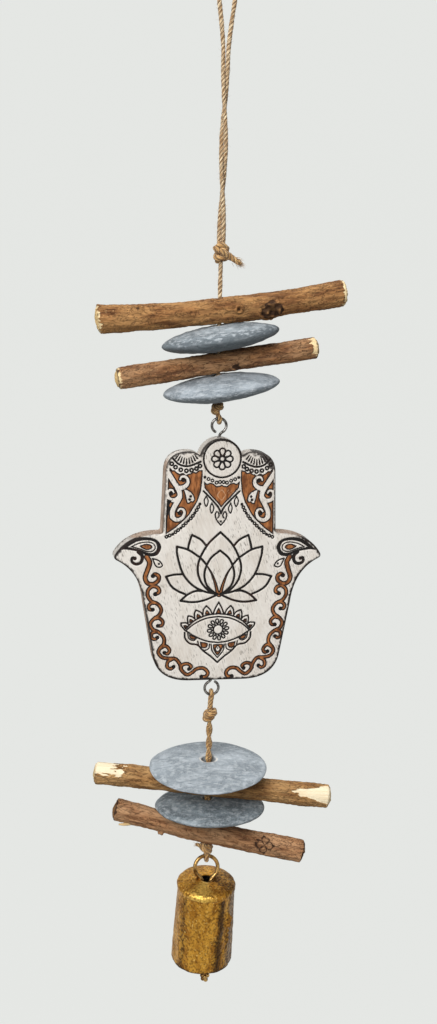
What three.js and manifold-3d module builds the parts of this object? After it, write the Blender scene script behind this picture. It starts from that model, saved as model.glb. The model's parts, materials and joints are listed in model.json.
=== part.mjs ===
// Hamsa mobile: a carved wooden hand that hangs on jute cord between two stacks of sticks and
// drilled pebbles, with a small brass bell below. Millimetres, X to the right, Y away from the
// viewer, Z up. The origin is the inside top of the hanging loop, where a hook carries it, and
// every piece is placed from there downwards, each one seated on the next.
import * as THREE from "three";
import { mergeVertices } from "three/addons/utils/BufferGeometryUtils.js";
import Module from "manifold-3d";

// Gaps between pieces
const SEAT_GAP = 0.3; // between a piece and what it rests on
const HOLE_PLAY = 0.4; // between a cord and the hole it runs through
const SHANK_PLAY = 0.3; // round a screw eye's shank in the wood
const LINK_GAP = 0.3; // between a cord loop or eye and the wire it hangs on

// Jute cord
const CORD_DIAMETER = 2.2;
const PAIR_DIAMETER = 3.4; // the two strands of the lower cord, twisted together
const BARE_UPPER = 16; // cord showing between the upper knot and the first stick
const BARE_LOWER = 19.4; // cord showing between the lower knot and the third pebble
const UPPER_LEG = 1.7; // from a loop's ends at its knot to the wire that it hangs on
const LOWER_LEG = 6.9;
const BELL_LEG = 1.3;
const LEG_GAP = 1; // between a loop's two ends at its knot

// Knots
const UPPER_KNOT_WIDTH = 7.4;
const UPPER_KNOT_HEIGHT = 11.4;
const UPPER_TAIL_LENGTH = 7.2;
const UPPER_TAIL_DROOP = 38; // degrees
const EYE_KNOT_DIAMETER = 6.2;
const LOWER_KNOT_DIAMETER = 7.2;
const BELL_KNOT_DIAMETER = 6;
const BELL_TAIL_LENGTH = 4.6;
const BELL_TAIL_DROOP = -6; // degrees, a little upwards
const TAIL_DIAMETER = 2.4;
const TURN_PROUD = 0.25; // how far the turns of cord stand out of a knot
const TURN_SLANT = 9; // degrees
const TURN_APART = 0.56; // from a long knot's middle to each turn

// Hand board
const HAND_ASIDE = 1.8; // its middle line, right of the cord
const HAND_THICKNESS = 12;
const HAND_EDGE_ROUND = 1.2;
const HAND_HEIGHT = 123.3;
const FINGER_RADIUS = 10.8; // the round tip of the middle finger
const FINGER_HALF_TOP = 27.6; // from the middle line to the side of the fingers, near their tips
const FINGER_HALF_FOOT = 28.6; // and where the thumbs begin
const FINGER_TOP = 6.5; // the outer fingers' tips, below the middle one
const FINGER_NOTCH = 8.4; // the notches between the fingers
const FINGER_CORNER = 11; // the round outer corners of the fingers
const FINGER_FLAT = 5.5; // from a notch to the flat of an outer finger's tip
const THUMB_ROOT = 0.8; // the small round inner corner above a thumb
const THUMB_TOP = 47.3; // upper edge of the thumbs, below the top
const THUMB_TIP = 59.8;
const THUMB_HALF = 52; // from the middle line to a thumb's tip
const THUMB_ROUND = 1.8; // the round of that tip
const THUMB_BROW = 6.2; // how far in from the tip a thumb's upper edge turns down
const THUMB_UNDER = 7; // how far below the tip its lower edge turns down into the palm's side
const PALM_HALF = 37.3; // half the palm's width below the thumbs
const PALM_HALF_FOOT = 32.5; // and where the round lower corners begin
const PALM_SIDE_TOP = 83; // where the palm's straight sides begin, below the top
const PALM_CORNER = 13.3; // height of the round lower corners
const PALM_FOOT_FLAT = 13.6; // half the flat of the foot

// Screw eyes
const EYE_WIRE = 1.4;
const EYE_OUTER = 8.6;
const EYE_STAND_OFF = 5.8; // from the wood to the middle of the ring
const EYE_SHANK_DEPTH = 11;
const UPPER_EYE_ASIDE = 1.2; // right of the cord
const LOWER_EYE_ASIDE = 0.6;

// Bell
const BELL_SHOULDER_RADIUS = 15.3;
const BELL_RIM_RADIUS = 16.2;
const BELL_HEIGHT = 46.7; // from the crown to the rim
const BELL_DOME_RISE = 2.1;
const BELL_SHOULDER_ROUND = 2.4;
const BELL_WALL = 1.1;
const BELL_LEAN = 0.6; // degrees, its foot to the left
const BELL_NOD = 9; // degrees, its foot to the back
const BELL_SEAM_TURN = 46; // degrees round from the front to the brazed seam
const BELL_SEAM_WIDTH = 6.8;
const BELL_SEAM_LENGTH = 17;
const BELL_SEAM_PROUD = 0.9;
const BELL_SEAM_DROP = 20; // from the crown to its middle
const RING_WIRE = 2;
const RING_RADIUS = 6.1; // to the middle of the wire
const RING_TIP = 14.5; // degrees, its foot to the viewer, which balances the bell's nod
const RING_NECK = 0.6; // from the ring down to the crown
const RING_LEG_GAP = 1.2; // between the ring's two legs, where they go through the crown
const CROWN_PLAY = 0.7; // round the ring's legs in the crown
const CLINCH_REACH = 5.4; // how far one leg is bent out under the crown
const CLINCH_GAP = 0.4; // between that leg and the crown
const CLINCH_DIP = 0.5; // how far its end points down
const HOOK_RADIUS = 2.4; // the clapper's hook, at the end of the other leg
const HOOK_DROP = 5.7; // from the crown to the middle of the hook
const CLAPPER_EYE_RADIUS = 2.3;
const CLAPPER_WIRE = 1.4;
const CLAPPER_ROD = 2;
const CLAPPER_LENGTH = 50.3; // from the hook to the lower end
const CLAPPER_END_DIAMETER = 5.4;
const CLAPPER_END_LENGTH = 10;

// Sticks: lengths either side of the hole, thickness at left end, hole and right end, the height that
// the ends bow up, and the tilts in degrees: rise to the right, front down, and turn round the cord.
const STICKS = {
  stick_1: { left: 59.4, right: 62.9, thick: [13.6, 12.3, 13.2], bow: 2.4, rise: 7.15, front: 0, turn: 0 },
  stick_2: { left: 50.1, right: 49.7, thick: [10.4, 10.2, 10.6], bow: 0, rise: 9.6, front: 2, turn: 0 },
  stick_3: { left: 58.6, right: 63, thick: [11.8, 11.6, 12], bow: 0, rise: -5, front: 7, turn: -10 },
  stick_4: { left: 49.3, right: 51.2, thick: [11.4, 11.2, 11.8], bow: 1, rise: -12.3, front: 3, turn: -10 },
};
// Branch stubs left on the sticks: place along the stick, turn round it from the top towards the
// viewer in degrees, foot diameter, and how far they stand out.
const STUBS = {
  stick_1: [
    { along: 26.5, round: 75, diameter: 9, rise: 1.1 },
    { along: 9.4, round: 62, diameter: 4, rise: 0.9 },
    { along: -40, round: 50, diameter: 3.6, rise: 0.7 },
  ],
  stick_4: [
    { along: -23.5, round: 150, diameter: 3.4, rise: 1.6 },
    { along: 30.6, round: 72, diameter: 8, rise: 0.5 },
  ],
};
// Pebbles: length, depth and thickness, the middle's place beside and behind the hole, the tilts, and
// how much wider than the others' a hole is drilled.
const PEBBLES = {
  pebble_1: { long: 58.2, deep: 42, thick: 12.8, beside: 0.8, behind: 0, rise: 10.1, front: 1, turn: 0 },
  pebble_2: { long: 58.5, deep: 42, thick: 13, beside: 2, behind: -1, rise: 8.35, front: 4, turn: 0 },
  pebble_3: { long: 59.5, deep: 53, thick: 7, beside: 0, behind: -3, rise: 0.5, front: 8.5, turn: -10, widen: 2 },
  pebble_4: { long: 56.8, deep: 44, thick: 10.4, beside: 1.2, behind: 0, rise: 0.4, front: 5, turn: -10 },
};
const PEBBLE_FULLNESS = 0.72; // 0.5 is an ellipsoid, 1 a sharp-edged lens
const STICK_CHAMFER = 0.9; // round the cut ends of the sticks
const STUB_TAPER = 0.64; // a stub's top, as a share of its foot

// The hanging loop's right strand, from the knot up to the hook. Its two strands cross twice on the
// way, and the left one is this one turned half round the plumb line.
const LOOP_STRAND = [
  [1.25, 0, -132.4],
  [0.88, -0.88, -121.8],
  [0, -1.25, -111.6],
  [-0.88, -0.88, -102],
  [-1.25, 0, -92.4],
  [-0.88, 0.88, -82.8],
  [0, 1.25, -73.2],
  [0.88, 0.88, -63.6],
  [1.25, 0, -54],
  [1.5, 0, -44],
  [2.5, 0, -33],
  [3.7, 0, -23],
  [4.9, 0, -12.5],
  [5.5, 0, -6],
  [4.2, 0, -0.9],
];

// Fineness of the meshes
const CORD_SIDES = 8;
const ROUND_SIDES = 20;
const STICK_SIDES = 16;
const PEBBLE_SIDES = 28;
const BELL_SIDES = 32;
const LOOP_STEPS = 50;
const SHORT_STEPS = 7;
const RING_STEPS = 46;
const SEAT_SAMPLES = 60;

const wasm = await Module();
wasm.setup();
const object = new THREE.Group();
const radians = THREE.MathUtils.degToRad;

const COLOURS = {
  jute: { color: 0xc09a62, roughness: 0.95, metalness: 0 },
  bark: { color: 0x8a5a30, roughness: 0.85, metalness: 0 },
  stone: { color: 0x8e99a3, roughness: 0.8, metalness: 0 },
  paint: { color: 0xede8e2, roughness: 0.7, metalness: 0 },
  steel: { color: 0xc4c6c8, roughness: 0.3, metalness: 1 },
  brass: { color: 0xa8771f, roughness: 0.35, metalness: 1 },
};

function addPiece(name, geometry, finish, parent = object) {
  const mesh = new THREE.Mesh(geometry, new THREE.MeshStandardMaterial(COLOURS[finish]));
  mesh.name = name;
  parent.add(mesh);
  return mesh;
}

// A closed geometry as a solid for joining and cutting, without its collapsed triangles.
function solidOf(geometry) {
  const bare = geometry.clone();
  bare.deleteAttribute("normal");
  bare.deleteAttribute("uv");
  const merged = mergeVertices(bare, 1e-3);
  const triangles = [];
  for (let i = 0; i < merged.index.count; i += 3) {
    const [a, b, c] = merged.index.array.subarray(i, i + 3);
    if (a !== b && b !== c && c !== a) triangles.push(a, b, c);
  }
  const vertProperties = merged.getAttribute("position").array;
  const triVerts = new Uint32Array(triangles);
  return new wasm.Manifold(new wasm.Mesh({ numProp: 3, vertProperties, triVerts }));
}

function geometryOf(solid) {
  const mesh = solid.getMesh();
  const geometry = new THREE.BufferGeometry();
  geometry.setAttribute("position", new THREE.BufferAttribute(mesh.vertProperties, mesh.numProp));
  geometry.setIndex(new THREE.BufferAttribute(mesh.triVerts, 1));
  return geometry.toNonIndexed();
}

// The first geometry with the others joined to it.
function joined(first, ...others) {
  return geometryOf(others.reduce((solid, other) => solid.add(solidOf(other)), solidOf(first)));
}

// The first geometry with the others cut out of it.
function cut(first, ...others) {
  return geometryOf(others.reduce((solid, other) => solid.subtract(solidOf(other)), solidOf(first)));
}

// A round tube along points, or along a curve.
function tube(route, diameter, steps) {
  const curve = Array.isArray(route) ? new THREE.CatmullRomCurve3(route) : route;
  const section = new THREE.Shape().absarc(0, 0, diameter / 2, 0, 2 * Math.PI);
  const options = { steps, extrudePath: curve, bevelEnabled: false, curveSegments: CORD_SIDES / 2 };
  return new THREE.ExtrudeGeometry(section, options);
}

// A body of revolution about Z from a profile of [radius, height], listed upwards on the outside.
function turned(profile, sides) {
  const points = profile.map(([radius, height]) => new THREE.Vector2(radius, height));
  return new THREE.LatheGeometry(points, sides).rotateX(Math.PI / 2);
}

function rod(diameter, length, sides = ROUND_SIDES) {
  return new THREE.CylinderGeometry(diameter / 2, diameter / 2, length, sides).rotateX(Math.PI / 2);
}

// The turn of a threaded piece: rise to the right, then front down, then round the cord.
function tiltOf({ rise, front, turn }) {
  return new THREE.Euler(radians(front), radians(-rise), radians(turn), "ZXY");
}

function holeDiameter(half, normal, cord) {
  const slope = Math.tan(normal.angleTo(new THREE.Vector3(0, 0, 1)));
  return cord + 2 * (half * slope + HOLE_PLAY);
}

// How a stick measures along its length: its radius, and how far it has bowed up.
function stickShape(stick) {
  const [left, middle, right] = stick.thick;
  const share = (s) => (s < 0 ? s / stick.left : s / stick.right);
  const radius = (s) => (middle + ((s < 0 ? left : right) - middle) * share(s) ** 2) / 2;
  const bow = (s) => stick.bow * share(s) ** 2;
  return { radius, bow };
}

// A stick along X with its hole through the origin and its sawn ends chamfered.
function stickGeometry(stick, stubs, hole) {
  const { radius, bow } = stickShape(stick);
  const rows = 8;
  const profile = [[0, -stick.left]];
  profile.push([radius(-stick.left) - STICK_CHAMFER, -stick.left]);
  for (let i = 0; i <= rows; i++) {
    const s = -stick.left + STICK_CHAMFER + ((stick.left + stick.right - 2 * STICK_CHAMFER) * i) / rows;
    profile.push([radius(s), s]);
  }
  profile.push([radius(stick.right) - STICK_CHAMFER, stick.right], [0, stick.right]);
  const body = turned(profile, STICK_SIDES).rotateY(Math.PI / 2);
  const place = body.getAttribute("position");
  for (let i = 0; i < place.count; i++) {
    place.setZ(i, place.getZ(i) + bow(place.getX(i)));
  }
  const bosses = stubs.map((stub) => stubGeometry(stick, stub));
  return cut(joined(body, ...bosses), rod(hole, 2 * stick.thick[1]));
}

// The stump of a side branch: a low cone that stands out of the stick.
function stubGeometry(stick, { along, round, diameter, rise }) {
  const { radius, bow } = stickShape(stick);
  const foot = radius(along) - 0.3 * diameter;
  const top = radius(along) + rise;
  const stump = new THREE.CylinderGeometry((STUB_TAPER * diameter) / 2, diameter / 2, top - foot, 12);
  stump.rotateX(Math.PI / 2);
  stump.translate(0, 0, (foot + top) / 2);
  stump.rotateX(radians(round));
  return stump.translate(along, 0, bow(along));
}

// How far a pebble's face stands above its middle plane, at a share of its reach.
function pebbleRise(pebble, share) {
  return (pebble.thick / 2) * Math.max(0, 1 - share ** 2) ** PEBBLE_FULLNESS;
}

function pebbleGeometry(pebble, hole) {
  const rows = 6;
  const profile = [];
  for (let i = -rows; i <= rows; i++) {
    const share = Math.cos((Math.PI / 2) * (i / rows));
    const out = Math.abs(i) === rows ? 0 : share;
    profile.push([(pebble.long / 2) * out, Math.sign(i) * pebbleRise(pebble, out)]);
  }
  const body = turned(profile, PEBBLE_SIDES);
  body.scale(1, pebble.deep / pebble.long, 1);
  body.translate(pebble.beside, pebble.behind, 0);
  return cut(body, rod(hole, 2 * pebble.thick));
}

// What a threaded piece needs when it is seated: its tilt, and how far it reaches above and below
// its middle at a distance out from the cord, whichever way it has turned.
function stickSeat(stick) {
  const { radius, bow } = stickShape(stick);
  const worst = (reach) => (out) => Math.max(reach(-out), reach(out));
  return {
    half: stick.thick[1] / 2,
    reach: Math.min(stick.left, stick.right),
    above: worst((s) => radius(s) + bow(s)),
    below: worst((s) => radius(s) - bow(s)),
    normal: new THREE.Vector3(0, 0, 1).applyEuler(tiltOf(stick)),
  };
}

function pebbleSeat(pebble) {
  const aside = Math.hypot(pebble.beside, pebble.behind);
  const face = (out) => pebbleRise(pebble, Math.max(0, out - aside) / (pebble.long / 2));
  return {
    half: pebble.thick / 2,
    reach: pebble.long / 2 + aside,
    above: face,
    below: face,
    normal: new THREE.Vector3(0, 0, 1).applyEuler(tiltOf(pebble)),
  };
}

function knotSeat(diameter) {
  const half = diameter / 2;
  const ball = (out) => Math.sqrt(Math.max(0, half ** 2 - out ** 2));
  return { half, reach: half, above: ball, below: ball, normal: new THREE.Vector3(0, 0, 1) };
}

// The height between the middles of two pieces when the upper one is seated on the lower one,
// from start outwards: inside that there is only the hole's mouth.
function seatedDrop(upper, lower, start = 0) {
  const lean = Math.tan(upper.normal.angleTo(lower.normal));
  const reach = Math.min(upper.reach, lower.reach);
  let most = 0;
  for (let i = 0; i <= SEAT_SAMPLES; i++) {
    const out = start + ((reach - start) * i) / SEAT_SAMPLES;
    most = Math.max(most, upper.below(out) + lower.above(out) + out * lean);
  }
  return most / upper.normal.z + SEAT_GAP;
}

// Threads sticks and pebbles on a cord. The first one's top meets the cord at height top, and the
// last one rests on a knot, whose middle height is returned.
function addStack(names, top, cord, knotDiameter) {
  let height = top;
  let above = null;
  for (const name of names) {
    const spec = STICKS[name] ?? PEBBLES[name];
    const seat = name in STICKS ? stickSeat(spec) : pebbleSeat(spec);
    height -= above ? seatedDrop(above, seat) : seat.half / seat.normal.z;
    const hole = holeDiameter(seat.half, seat.normal, cord) + (spec.widen ?? 0);
    const geometry = name in STICKS
      ? stickGeometry(spec, STUBS[name] ?? [], hole)
      : pebbleGeometry(spec, hole);
    const piece = addPiece(name, geometry, name in STICKS ? "bark" : "stone");
    piece.position.set(0, 0, height);
    piece.rotation.copy(tiltOf(spec));
    above = seat;
  }
  return height - seatedDrop(above, knotSeat(knotDiameter), cord / 2 + HOLE_PLAY);
}

// A knot: a ball, or an egg on its end, with two turns of cord laid round its middle.
function knotGeometry(width, height) {
  const ball = new THREE.SphereGeometry(width / 2, 12, 8).rotateX(Math.PI / 2);
  ball.scale(1, 1, height / width);
  const turns = [-1, 1].map((side) => {
    const thick = CORD_DIAMETER / 2;
    const turn = new THREE.TorusGeometry(width / 2 + TURN_PROUD - thick, thick, 6, 12);
    turn.rotateX(radians(TURN_SLANT * side));
    return turn.translate(0, 0, height > width ? side * TURN_APART : 0);
  });
  return joined(ball, ...turns);
}

// The cut end of the cord beside a knot: side is 1 to the right, -1 to the left.
function knotTail(height, width, length, side, droop) {
  const start = new THREE.Vector3(side * (width / 2 + TURN_PROUD + SEAT_GAP), 0, height);
  const root = new THREE.Vector3(side * TAIL_DIAMETER, 0, 0).add(start);
  const fall = new THREE.Vector3(side * Math.cos(radians(droop)), 0, -Math.sin(radians(droop)));
  const end = fall.multiplyScalar(length - TAIL_DIAMETER).add(root);
  return tube([start, root, end], TAIL_DIAMETER, 4);
}

// A cord loop that hangs from a knot and goes round a wire that runs along X. The bend is on the far
// side of the wire from the knot.
function wireLoop(legTop, wireX, wireZ, wire) {
  const bend = wire / 2 + LINK_GAP + CORD_DIAMETER / 2;
  const away = Math.sign(wireZ - legTop);
  const close = (CORD_DIAMETER + LEG_GAP) / 2;
  const leg = (side) => new THREE.Vector3(0, side * close, legTop);
  const points = [leg(-1)];
  for (let degrees = 0; degrees <= 180; degrees += 30) {
    const y = -bend * Math.cos(radians(degrees));
    const z = wireZ + away * bend * Math.sin(radians(degrees));
    points.push(new THREE.Vector3(wireX, y, z));
  }
  points.push(leg(1));
  return tube(points, CORD_DIAMETER, 2 * SHORT_STEPS);
}

function verticalCord(from, to, diameter) {
  const line = new THREE.LineCurve3(new THREE.Vector3(0, 0, from), new THREE.Vector3(0, 0, to));
  return tube(line, diameter, SHORT_STEPS);
}

// Hanging loop, its knot and the cord below it
const strand = LOOP_STRAND.map((point) => new THREE.Vector3(...point));
const otherStrand = strand.map((point) => new THREE.Vector3(-point.x, -point.y, point.z)).reverse();
const loopTop = new THREE.Vector3(0, 0, CORD_DIAMETER / 2);
addPiece("hanging_loop", tube([...strand, loopTop, ...otherStrand], CORD_DIAMETER, LOOP_STEPS), "jute");

const upperKnotZ = LOOP_STRAND[0][2] - SEAT_GAP - UPPER_KNOT_HEIGHT / 2;
const upperKnot = addPiece("upper_knot", knotGeometry(UPPER_KNOT_WIDTH, UPPER_KNOT_HEIGHT), "jute");
upperKnot.position.set(0, 0, upperKnotZ);
const upperTail = knotTail(upperKnotZ - TURN_APART, UPPER_KNOT_WIDTH, UPPER_TAIL_LENGTH, 1, UPPER_TAIL_DROOP);
addPiece("upper_knot_tail", upperTail, "jute");

// Upper stack
const upperCordTop = upperKnotZ - UPPER_KNOT_HEIGHT / 2 - SEAT_GAP;
const upperStack = ["stick_1", "pebble_1", "stick_2", "pebble_2"];
const eyeKnotZ = addStack(upperStack, upperCordTop - BARE_UPPER, CORD_DIAMETER, EYE_KNOT_DIAMETER);
const upperCordFoot = eyeKnotZ + EYE_KNOT_DIAMETER / 2 + SEAT_GAP;
addPiece("upper_cord", verticalCord(upperCordTop, upperCordFoot, CORD_DIAMETER), "jute");
const eyeKnot = addPiece("eye_knot", knotGeometry(EYE_KNOT_DIAMETER, EYE_KNOT_DIAMETER), "jute");
eyeKnot.position.set(0, 0, eyeKnotZ);

// Hand board: its right half runs down from the notch to the foot, and the left half mirrors it.
const tipTurn = Math.asin((FINGER_RADIUS - FINGER_NOTCH) / FINGER_RADIUS);
const notchHalf = FINGER_RADIUS * Math.cos(tipTurn);
const tipRound = THUMB_ROUND / 2;
const palmSideFoot = HAND_HEIGHT - PALM_CORNER;
const palmSlope = (PALM_HALF - PALM_HALF_FOOT) / (palmSideFoot - PALM_SIDE_TOP);
const footCorner = PALM_HALF_FOOT - palmSlope * PALM_CORNER;
const HAND_SIDE = [
  ["curve", [notchHalf + FINGER_FLAT / 2, -FINGER_TOP], [notchHalf + FINGER_FLAT, -FINGER_TOP]],
  ["curve", [FINGER_HALF_TOP, -FINGER_TOP], [FINGER_HALF_TOP, -FINGER_TOP - FINGER_CORNER]],
  ["line", [FINGER_HALF_FOOT, -THUMB_TOP + THUMB_ROOT]],
  ["line", [FINGER_HALF_FOOT + THUMB_ROOT, -THUMB_TOP]],
  ["curve", [THUMB_HALF - THUMB_BROW, -THUMB_TOP], [THUMB_HALF, -THUMB_TIP + THUMB_ROUND]],
  ["curve", [THUMB_HALF + tipRound, -THUMB_TIP], [THUMB_HALF - tipRound, -THUMB_TIP - tipRound]],
  ["curve", [PALM_HALF + THUMB_ROUND, -THUMB_TIP - THUMB_UNDER], [PALM_HALF, -PALM_SIDE_TOP]],
  ["line", [PALM_HALF_FOOT, -palmSideFoot]],
  ["curve", [footCorner, -HAND_HEIGHT], [PALM_FOOT_FLAT, -HAND_HEIGHT]],
  ["line", [0, -HAND_HEIGHT]],
];

function handOutline() {
  const outline = new THREE.Shape();
  outline.absarc(0, -FINGER_RADIUS, FINGER_RADIUS, Math.PI / 2, tipTurn, true);
  for (const [kind, ...points] of HAND_SIDE) {
    if (kind === "line") outline.lineTo(...points[0]);
    else outline.quadraticCurveTo(...points[0], ...points[1]);
  }
  const right = outline.getPoints(6);
  const left = right.slice(1, -1).map((point) => new THREE.Vector2(-point.x, point.y));
  return new THREE.Shape([...right, ...left.reverse()]);
}

function handBoard(eyes) {
  const flat = HAND_THICKNESS - 2 * HAND_EDGE_ROUND;
  const board = new THREE.ExtrudeGeometry(handOutline(), {
    depth: flat,
    bevelThickness: HAND_EDGE_ROUND,
    bevelSize: HAND_EDGE_ROUND,
    bevelOffset: -HAND_EDGE_ROUND,
    bevelSegments: 2,
  });
  board.translate(0, 0, -flat / 2).rotateX(Math.PI / 2);
  return cut(board, ...eyes);
}

const eyeMean = (EYE_OUTER - EYE_WIRE) / 2;
const upperWireZ = eyeKnotZ - EYE_KNOT_DIAMETER / 2 - LINK_GAP - UPPER_LEG;
const upperEyeZ = upperWireZ - eyeMean;
const handTop = upperEyeZ - EYE_STAND_OFF;
const handFoot = handTop - HAND_HEIGHT;
const lowerEyeZ = handFoot - EYE_STAND_OFF;
const lowerWireZ = lowerEyeZ - eyeMean;

// The hole for a screw eye's shank, in the board's own place: side is 1 in its top, -1 in its foot.
function shankHole(side, aside) {
  const deep = EYE_SHANK_DEPTH + SHANK_PLAY;
  const hole = rod(EYE_WIRE + 2 * SHANK_PLAY, 2 * deep, 12);
  return hole.translate(aside - HAND_ASIDE, 0, side > 0 ? 0 : -HAND_HEIGHT);
}

// A screw eye round the origin, its shank pointing down.
function screwEye() {
  const ring = new THREE.TorusGeometry(eyeMean, EYE_WIRE / 2, 8, ROUND_SIDES).rotateX(Math.PI / 2);
  const shankLength = EYE_STAND_OFF - eyeMean + EYE_SHANK_DEPTH;
  const shank = rod(EYE_WIRE, shankLength, 8).translate(0, 0, -eyeMean - shankLength / 2);
  return joined(ring, shank);
}

addPiece("upper_eye_loop", wireLoop(upperWireZ + UPPER_LEG, UPPER_EYE_ASIDE, upperWireZ, EYE_WIRE), "jute");
const holes = [shankHole(1, UPPER_EYE_ASIDE), shankHole(-1, LOWER_EYE_ASIDE)];
addPiece("hand_board", handBoard(holes), "paint").position.set(HAND_ASIDE, 0, handTop);
addPiece("upper_screw_eye", screwEye(), "steel").position.set(UPPER_EYE_ASIDE, 0, upperEyeZ);
const lowerEye = addPiece("lower_screw_eye", screwEye(), "steel");
lowerEye.position.set(LOWER_EYE_ASIDE, 0, lowerEyeZ);
lowerEye.rotation.y = Math.PI;

// Lower knot, stack and cord
const lowerKnotZ = lowerWireZ - LOWER_LEG - LINK_GAP - LOWER_KNOT_DIAMETER / 2;
addPiece("lower_eye_loop", wireLoop(lowerWireZ - LOWER_LEG, LOWER_EYE_ASIDE, lowerWireZ, EYE_WIRE), "jute");
const lowerKnot = addPiece("lower_knot", knotGeometry(LOWER_KNOT_DIAMETER, LOWER_KNOT_DIAMETER), "jute");
lowerKnot.position.set(0, 0, lowerKnotZ);
const lowerCordTop = lowerKnotZ - LOWER_KNOT_DIAMETER / 2 - SEAT_GAP;
const lowerStack = ["pebble_3", "stick_3", "pebble_4", "stick_4"];
const bellKnotZ = addStack(lowerStack, lowerCordTop - BARE_LOWER, PAIR_DIAMETER, BELL_KNOT_DIAMETER);
const lowerCordFoot = bellKnotZ + BELL_KNOT_DIAMETER / 2 + SEAT_GAP;
addPiece("lower_cord", verticalCord(lowerCordTop, lowerCordFoot, PAIR_DIAMETER), "jute");
const bellKnot = addPiece("bell_knot", knotGeometry(BELL_KNOT_DIAMETER, BELL_KNOT_DIAMETER), "jute");
bellKnot.position.set(0, 0, bellKnotZ);
const bellTail = knotTail(bellKnotZ, BELL_KNOT_DIAMETER, BELL_TAIL_LENGTH, -1, BELL_TAIL_DROOP);
addPiece("bell_knot_tail", bellTail, "jute");

// Bell, in a group whose origin is the ring's top wire and whose Z is the bell's own axis
const ringWireZ = bellKnotZ - BELL_KNOT_DIAMETER / 2 - LINK_GAP - BELL_LEG;
addPiece("bell_loop", wireLoop(ringWireZ + BELL_LEG, 0, ringWireZ, RING_WIRE), "jute");
const bell = new THREE.Group();
bell.position.set(0, 0, ringWireZ);
bell.rotation.set(radians(BELL_NOD), radians(BELL_LEAN), 0);
object.add(bell);
const ringLeg = (RING_WIRE + RING_LEG_GAP) / 2;
const crownHole = ringLeg + RING_WIRE / 2 + CROWN_PLAY;

// A place in the ring's plane: sideways and up from the top wire.
function onRing(x, up) {
  const tip = radians(RING_TIP + BELL_NOD);
  return new THREE.Vector3(x, up * Math.sin(tip), up * Math.cos(tip));
}

const crown = onRing(0, -2 * RING_RADIUS - RING_NECK);

// The shell's outer radius at a height below the crown.
function bellSide(z) {
  return BELL_SHOULDER_RADIUS + ((BELL_RIM_RADIUS - BELL_SHOULDER_RADIUS) * -z) / BELL_HEIGHT;
}

// The shell's outer face from the rim up to the crown hole, moved in by inset.
function bellFace(inset) {
  const face = [[bellSide(-BELL_HEIGHT) - inset, -BELL_HEIGHT]];
  for (const share of [0.7, 0.4]) face.push([bellSide(-BELL_HEIGHT * share) - inset, -BELL_HEIGHT * share]);
  const turnZ = -BELL_DOME_RISE - BELL_SHOULDER_ROUND;
  const turnRadius = bellSide(turnZ) - BELL_SHOULDER_ROUND;
  for (let degrees = 0; degrees <= 70; degrees += 17.5) {
    const out = BELL_SHOULDER_ROUND - inset;
    face.push([turnRadius + out * Math.cos(radians(degrees)), turnZ + out * Math.sin(radians(degrees))]);
  }
  face.push([0.55 * turnRadius, -0.28 * BELL_DOME_RISE - inset], [crownHole, -inset]);
  return face;
}

function bellShell() {
  const outer = bellFace(0);
  const inner = bellFace(BELL_WALL).reverse();
  const shell = turned([...outer, ...inner, outer[0]], BELL_SIDES);
  const seam = new THREE.SphereGeometry(1, 10, 8);
  seam.scale(BELL_SEAM_WIDTH / 2, BELL_WALL / 2 + BELL_SEAM_PROUD, BELL_SEAM_LENGTH / 2);
  seam.translate(0, BELL_WALL / 2 - bellSide(-BELL_SEAM_DROP), -BELL_SEAM_DROP);
  seam.rotateZ(radians(BELL_SEAM_TURN));
  const inside = bellFace(BELL_WALL);
  const bore = turned([[0, -BELL_HEIGHT], ...inside, [0, -BELL_WALL]], BELL_SIDES);
  return joined(shell, cut(seam, bore)).translate(...crown);
}

// The ring's wire: a leg clinched under the crown, the ring, and the other leg curled into a hook.
function ringRoute() {
  const at = (x, up) => new THREE.Vector3(x, 0, up).add(crown);
  const under = -BELL_WALL - RING_WIRE - CLINCH_GAP;
  const route = [
    at(-CLINCH_REACH, under - CLINCH_DIP),
    at(-(ringLeg + CLINCH_REACH) / 2, under),
    at(-ringLeg, -BELL_WALL - RING_WIRE / 2),
    at(-ringLeg, RING_NECK / 2),
  ];
  for (let degrees = 225; degrees >= -45; degrees -= 30) {
    const turn = radians(degrees);
    route.push(onRing(RING_RADIUS * Math.cos(turn), RING_RADIUS * (Math.sin(turn) - 1)));
  }
  route.push(at(ringLeg, RING_NECK / 2), at(ringLeg, -BELL_WALL));
  for (let degrees = 25; degrees >= -185; degrees -= 30) {
    const turn = radians(degrees);
    route.push(at(HOOK_RADIUS * Math.cos(turn), HOOK_RADIUS * Math.sin(turn) - HOOK_DROP));
  }
  return route;
}

// The clapper round its pivot, the lowest place of the hook's wire: an eye on the hook, a rod and a
// hammered end.
function clapper() {
  const eyeTop = (RING_WIRE + CLAPPER_WIRE) / 2 + LINK_GAP;
  const eye = new THREE.TorusGeometry(CLAPPER_EYE_RADIUS, CLAPPER_WIRE / 2, 8, 16).rotateY(Math.PI / 2);
  eye.translate(0, 0, eyeTop - CLAPPER_EYE_RADIUS);
  const rodTop = eyeTop - 2 * CLAPPER_EYE_RADIUS;
  const endTop = CLAPPER_END_LENGTH - CLAPPER_LENGTH;
  const end = CLAPPER_END_DIAMETER / 2;
  const shape = turned([
    [0, -CLAPPER_LENGTH],
    [0.7 * end, -CLAPPER_LENGTH],
    [end, -CLAPPER_LENGTH + 0.18 * CLAPPER_END_LENGTH],
    [0.9 * end, -CLAPPER_LENGTH + 0.6 * CLAPPER_END_LENGTH],
    [CLAPPER_ROD / 2, endTop],
    [CLAPPER_ROD / 2, rodTop],
    [0, rodTop],
  ], 12);
  return joined(eye, shape);
}

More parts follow.
